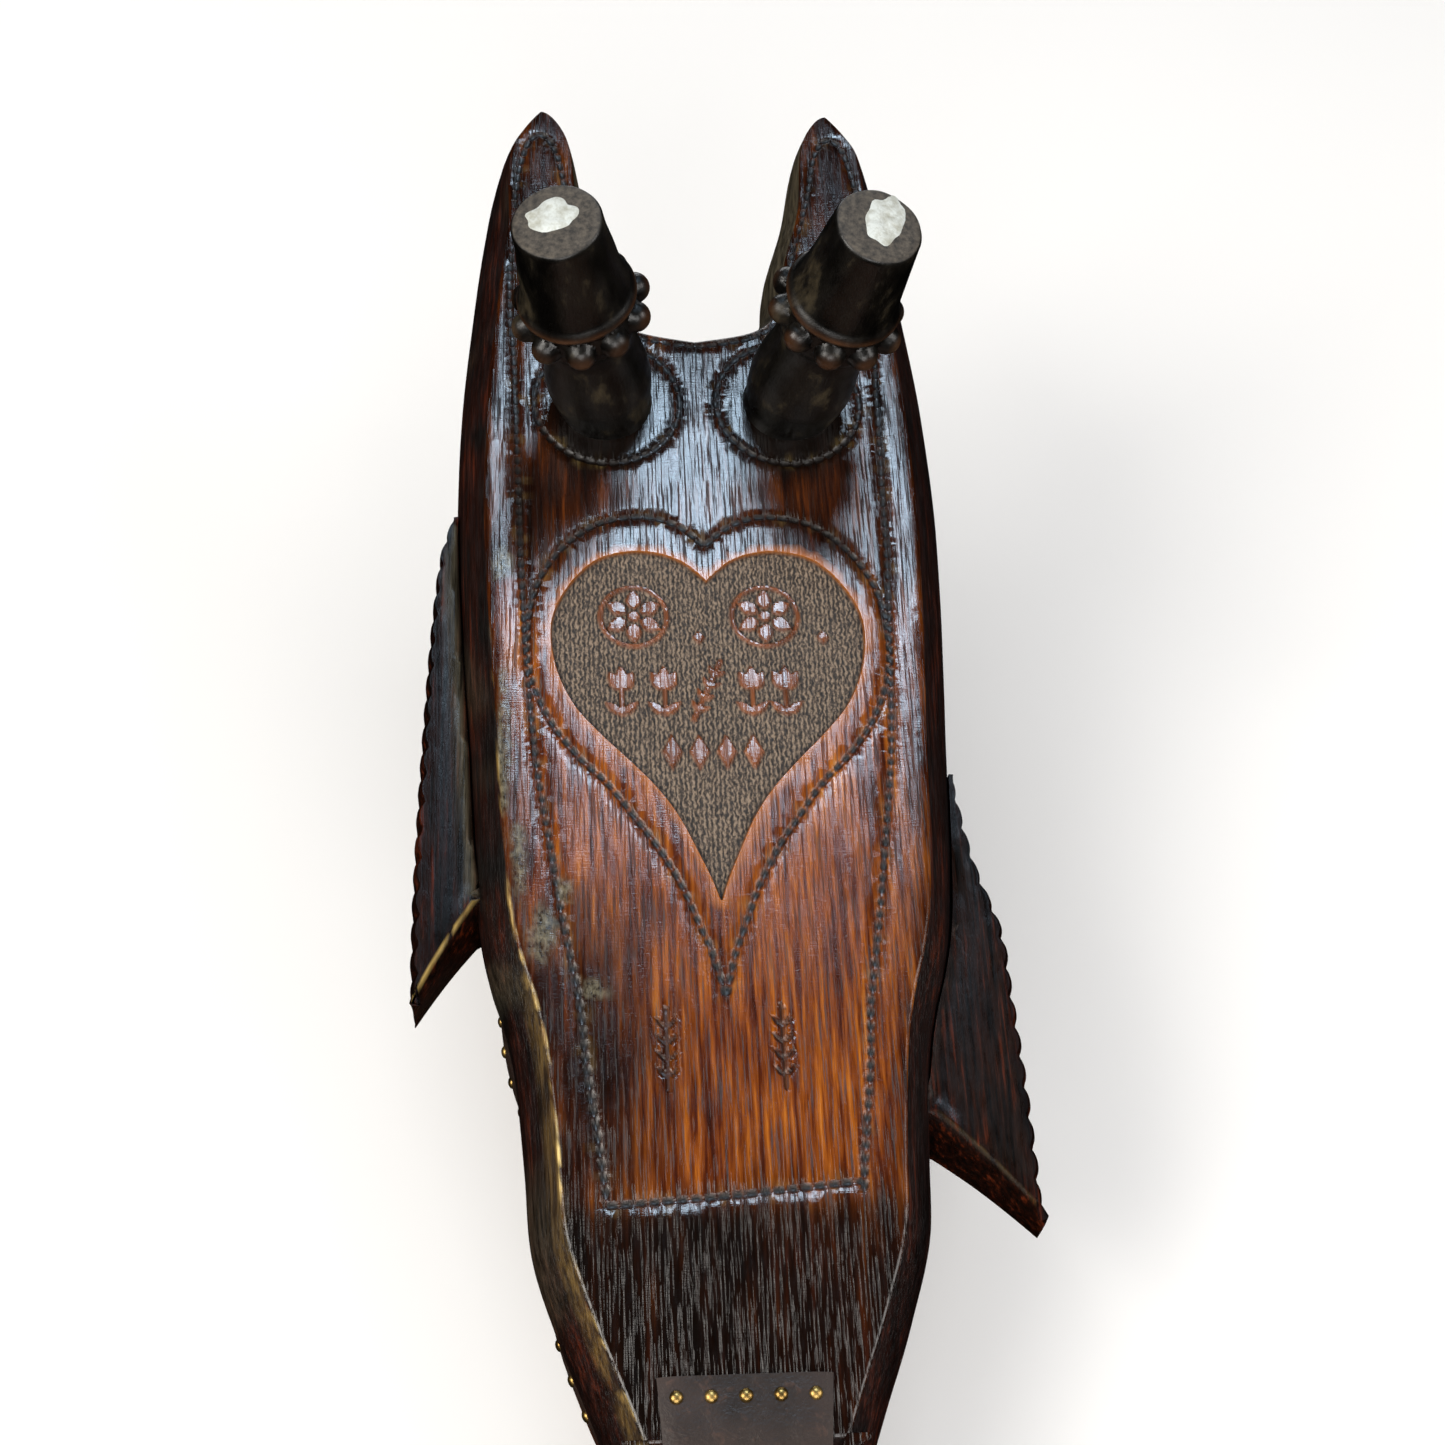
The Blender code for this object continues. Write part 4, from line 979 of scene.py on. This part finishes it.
def gusset(material):
    """The leather bag, folding inwards between its ribs in three bays."""
    path, walked = even(chamber_path(), 3.2)
    across = normals_of(path)
    lift = PIN_TO_FRONT_LINER - PIN_TO_BACK_LINER
    levels = [(0, 12.6 - HINGE.z, -1), (0, PIN_TO_BACK_LINER - 3, -1)]
    bays, rows = 3, 12
    for i in range(bays * rows + 1):
        t = i / (bays * rows)
        levels.append((t, PIN_TO_BACK_LINER + lift * t, (t * bays) % 1 if 0 < t < 1 else 0))
    levels += [(1, PIN_TO_FRONT_LINER + 3, -1), (1, FACE_ABOVE_PIN - BOARD_T - 0.6, -1)]
    verts, faces, weight = [], [], []
    for part, above, phase in levels:
        for (x, y), (nx, ny), at in zip(path, across, walked):
            bay = lift / bays + (y - HINGE.y) * sin(OPEN / bays)
            depth = min(0.28 * bay, 9.5)
            fold = sin(pi * phase) ** 1.25 if phase >= 0 else 0.0
            spot = Vector((at / 26, part * 9, 3.0))
            crumple = noise.noise(spot * 2.2) * 0.8 + noise.noise(spot * 5.1) * 0.45
            gather = 0.8 * sin(tau * at / 17 + 3 * noise.noise(spot))
            out = 1.5 - depth * fold * (1 + 0.16 * noise.noise(spot)) \
                + (crumple + gather) * min(fold * 1.4, 1) * min(bay / 16, 1)
            verts.append(swung(x + nx * out, y + ny * out, above, part))
            weight.append(part)
    skin(faces, len(levels), len(path), closed=False)
    wall = mesh_object("gusset_leather", verts, faces, 70)
    put_masks(wall, part=weight)
    blended_sheet(wall, material, "gusset")
    return wall


def blended_sheet(sheet, material, node):
    """Give a sheet its thickness and its material, and hide the CAD node that it stands for."""
    thick = sheet.modifiers.new("thick", 'SOLIDIFY')
    thick.thickness = LEATHER_T * MM
    thick.offset = 0
    seen = sheet.evaluated_get(bpy.context.evaluated_depsgraph_get())
    sheet.data = bpy.data.meshes.new_from_object(seen)
    sheet.modifiers.clear()
    soften(sheet, 60)
    sheet.data.materials.clear()
    sheet.data.materials.append(material)
    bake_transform(sheet)
    parts = np.zeros(len(sheet.data.vertices), np.float32)
    sheet.data.attributes["part"].data.foreach_get("value", parts)
    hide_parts(node)


def welt(name, node, body, base_above, part, material):
    """A rounded leather strip along the gusset's edge."""
    path, _ = even(chamber_path(), 4.0)
    across = normals_of(path)
    section = [(2.5, 0.2), (4.0, 0.2), (4.6, 1.6), (4.75, 4.0), (4.6, 6.4), (4.0, 7.8), (2.5, 7.8)]
    verts, faces = [], []
    for (x, y), (nx, ny) in zip(path, across):
        for out, up in section:
            verts.append(swung(x + nx * out, y + ny * out, base_above + up, part))
    size = len(section)
    for i in range(len(path) - 1):
        for k in range(size):
            a, b = i * size + k, i * size + (k + 1) % size
            faces.append((a, a + size, b + size, b))
    faces += [range(size), range(len(verts) - size, len(verts))[::-1]]
    strip = mesh_object(name, verts, faces, 50)
    dress(strip, body, material, "leather", node)


def domes(name, spots, radius, body, material, slot):
    """Round-headed nails: each spot is a point and the way it faces."""
    around, rings = 10, 4
    verts, faces = [], []
    for number, (point, facing) in enumerate(spots):
        turn = Vector((0, 0, 1)).rotation_difference(facing).to_matrix()
        size = radius * (1 + 0.07 * noise.noise((number * 1.7, 0, 0)))
        first = len(verts)
        for ring in range(rings):
            rise = pi / 2 * ring / rings
            out, up = size * cos(rise), 0.62 * size * sin(rise)
            verts += [point + turn @ Vector((*polar(out, angle), up)) for angle in turns(around)]
        skin(faces, rings, around, first=first)
        crown, top_ring = len(verts), len(verts) - around
        verts.append(point + turn @ Vector((0, 0, 0.62 * size)))
        faces += [(top_ring + i, top_ring + (i + 1) % around, crown) for i in range(around)]
        faces.append(range(first, first + around)[::-1])
    nails = mesh_object(name, verts, faces, 70)
    dress(nails, body, material, slot)


def welt_nails(name, body, above, part, material):
    """Nails at even distances along a welt."""
    path, _ = even(chamber_path(), 13.0)
    across = normals_of(path)
    spots = []
    for (x, y), (nx, ny) in list(zip(path, across))[1:-1]:
        start = Vector(swung(x + nx * 4.5, y + ny * 4.5, above, part))
        end = Vector(swung(x + nx * 5.5, y + ny * 5.5, above, part))
        spots.append((start, (end - start).normalized()))
    domes(name, spots, 2.3, body, material, "brass")


def neck_strip(material, brass):
    """The leather over the gap between the head block and the front board."""
    low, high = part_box("neck_leather")
    half = (high.x - low.x) / 2 / MM
    slope = radians(24)
    uphill = Vector((cos(slope), sin(slope)))
    edge = Vector((HINGE.y - 18, 85.2))
    route = [tuple(edge - uphill * 16), tuple(edge - uphill * 7), tuple(edge),
             (HINGE.y - 12, 86.3), (HINGE.y - 6.5, 86.4)]
    for reach in (3, 9, 15, 21, 27, 31.5):
        above = FACE_ABOVE_PIN + (1.3 if reach > 12 else 0.6)
        route.append(swung(0, HINGE.y + reach, above, 1)[1:])
    route = smooth(route, 3)
    columns = 25
    verts, faces, part = [], [], []
    for n, (y, z) in enumerate(route):
        share = n / (len(route) - 1)
        for s in np.linspace(-1, 1, columns):
            wide = (22.5 + 4.0 * share) * (1 - 0.015 * cos(9 * s))
            ripple = 0.35 * noise.noise((s * 4, y / 7, 2))
            droop = 0.9 * ease(abs(s), 0.86, 1.0)
            verts.append((s * min(wide, half), y, z + ripple - droop))
            part.append(float(ease(y, HINGE.y - 14, HINGE.y + 1)))
    skin(faces, len(route), columns, closed=False)
    strip = mesh_object("neck_leather_strip", verts, faces, 60)
    put_masks(strip, part=part)
    blended_sheet(strip, material, "neck_leather")
    for where, (y, z), pitch, tilt, body in (("head", route[4], 9.2, slope, "base"),
                                             ("board", route[-5], 10.58, OPEN, "front")):
        up = Vector((0, -sin(tilt), cos(tilt)))
        spots = [(Vector((n * pitch, y, z + 0.7)), up) for n in range(-2, 3)]
        domes("neck_nails_" + where, spots, 2.2, body, brass, "brass")


def leaf_spring(material):
    """The leaf between the boards, a copy of its CAD node with its material."""
    leaf = new_object("spring_leaf_bent", frame["nodes"]["spring_leaf"].data.copy())
    leaf.data.materials.clear()
    leaf.data.materials.append(material)
    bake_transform(leaf)
    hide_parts("spring_leaf")


# ---- building ----
def build():
    oak = carved_oak()
    side_oak = plain_wood("side_oak", (0.010, 0.004, 0.002), (0.055, 0.016, 0.006),
                          (0.20, 0.065, 0.018), 0.28)
    pale = plain_wood("bare_wood", (0.11, 0.055, 0.022), (0.24, 0.13, 0.06),
                      (0.36, 0.22, 0.11), 0.55)
    hide = leather("gusset_hide", (0.018, 0.007, 0.003), (0.060, 0.022, 0.009))
    strap = leather("strap_hide", (0.010, 0.005, 0.003), (0.030, 0.013, 0.007))
    brass = metal("old_brass", (0.20, 0.12, 0.035), (0.55, 0.36, 0.12), 0.26)
    iron = metal("forged_iron", (0.035, 0.033, 0.032), (0.12, 0.115, 0.11), 0.38,
                 rust=(0.09, 0.028, 0.010))
    dark = post_wood()
    chalk = filler()
    barb = wing_wood()

    board, wall_faces = front_board()
    dress(board, "front", oak, "oak", "front_board")
    board.data.materials.append(wall_oak())
    for face in board.data.polygons:
        if face.index < wall_faces or len(face.vertices) > 4:
            face.material_index = 1
    for side_name, side in (("left", -1), ("right", 1)):
        grip_post("post_%s" % side_name, side, dark)
        post_filler("post_plug_%s" % side_name, side, chalk)
    wing("wing_left", -1, WING_LEFT, -70.5, barb)
    wing("wing_right", 1, WING_RIGHT, -147.0, barb)
    bag = gusset(hide)
    welt("welt_back_strip", "welt_back", "base", 12.3 - HINGE.z, 0, strap)
    welt("welt_front_strip", "welt_front", "front", PIN_TO_FRONT_LINER, 1, strap)
    welt_nails("welt_nails_back", "base", 16.3 - HINGE.z, 0, brass)
    welt_nails("welt_nails_front", "front", PIN_TO_FRONT_LINER + 4, 1, brass)
    neck_strip(strap, brass)
    leaf_spring(iron)

    looks = {"oak": side_oak, "dark_wood": dark, "pale_wood": pale, "leather": strap,
             "iron": iron, "brass": brass, "filler": chalk}
    for part in frame["record"]["subparts"]:
        node = frame["nodes"][part["node"]]
        node.data.materials.clear()
        node.data.materials.append(looks[part["material_slot"]])


def area_light(name, place, target, size, power, colour):
    data = bpy.data.lights.new(name, 'AREA')
    data.shape = 'RECTANGLE'
    data.size, data.size_y = size
    data.energy = power
    data.color = colour
    lamp = new_object(name, data)
    lamp.location = place
    lamp.rotation_euler = (Vector(target) - Vector(place)).to_track_quat('-Z', 'Y').to_euler()
    lamp.visible_camera = False
    return lamp


def stage():
    """Pale floor and backdrop, a window that the polish mirrors, and soft light all round."""
    bpy.ops.mesh.primitive_plane_add(size=4.2, location=(0, 0, -0.0005))
    floor = bpy.context.object
    floor.name = "floor"
    pale = Shader("pale_floor")
    floor.data.materials.append(pale.finish((0.93, 0.93, 0.93), 0.9))
    floor.visible_glossy = False
    bpy.ops.mesh.primitive_uv_sphere_add(radius=11.5, location=(0, 0, 0))
    backdrop = bpy.context.object
    backdrop.name = "backdrop"
    glow = Shader("pale_backdrop")
    backdrop.data.materials.append(glow.finish((0, 0, 0), 1.0, Emission_Color=(1, 1, 1, 1),
                                               Emission_Strength=1.0))
    for kind in ("diffuse", "glossy", "transmission", "volume_scatter", "shadow"):
        setattr(backdrop, "visible_" + kind, False)
    world = bpy.data.worlds.new("studio")
    bpy.context.scene.world = world
    world.use_nodes = True
    background = world.node_tree.nodes["Background"].inputs
    background["Color"].default_value = (1, 1, 1, 1)
    background["Strength"].default_value = 0.34
    world.cycles_visibility.glossy = False
    bpy.context.scene.view_settings.view_transform = 'Standard'

    def from_face(u, v, w):
        return FACE @ (Vector((u, v, w)) * MM)

    window = area_light("window", from_face(125, 875, 1340), from_face(5, 75, 0), (0.52, 0.27),
                        14, (0.62, 0.81, 1.0))
    window.visible_diffuse = False
    area_light("left_soft", (-1.5, -0.7, 1.5), (0, 0, 0), (1.2, 1.2), 38, (1.0, 0.96, 0.90))
    area_light("right_soft", (1.8, -0.6, 1.5), (0, 0, 0), (1.2, 1.2), 22, (1.0, 0.97, 0.94))
    area_light("front_soft", (0.0, -2.0, 1.2), (0, 0, 0), (1.6, 0.9), 26, (1.0, 0.98, 0.96))
    area_light("back_soft", (0.0, 2.3, 0.7), (0, 0, 0.05), (1.6, 0.6), 14, (0.96, 0.98, 1.0))


def camera():
    """At the photograph's angle to the carved face, told in that face's own frame."""
    pitch, yaw, roll = radians(26.0), radians(-5.85), radians(-2.895)
    back = Vector((sin(yaw) * cos(pitch), -sin(pitch),
                   cos(yaw) * cos(pitch)))
    right = Vector((0, 1, 0)).cross(back).normalized()
    up = back.cross(right)
    rolled_right = right * cos(roll) + up * sin(roll)
    rolled_up = up * cos(roll) - right * sin(roll)
    place = Matrix((rolled_right, rolled_up, back)).transposed().to_4x4()
    place.translation = (Vector((3.26, 0, 0)) + back * 750) * MM
    data = bpy.data.cameras.new("camera")
    data.lens = 53.63
    data.sensor_width = 36
    eye = new_object("camera", data)
    eye.matrix_world = FACE @ place
    bpy.context.scene.camera = eye


build()
stage()
camera()
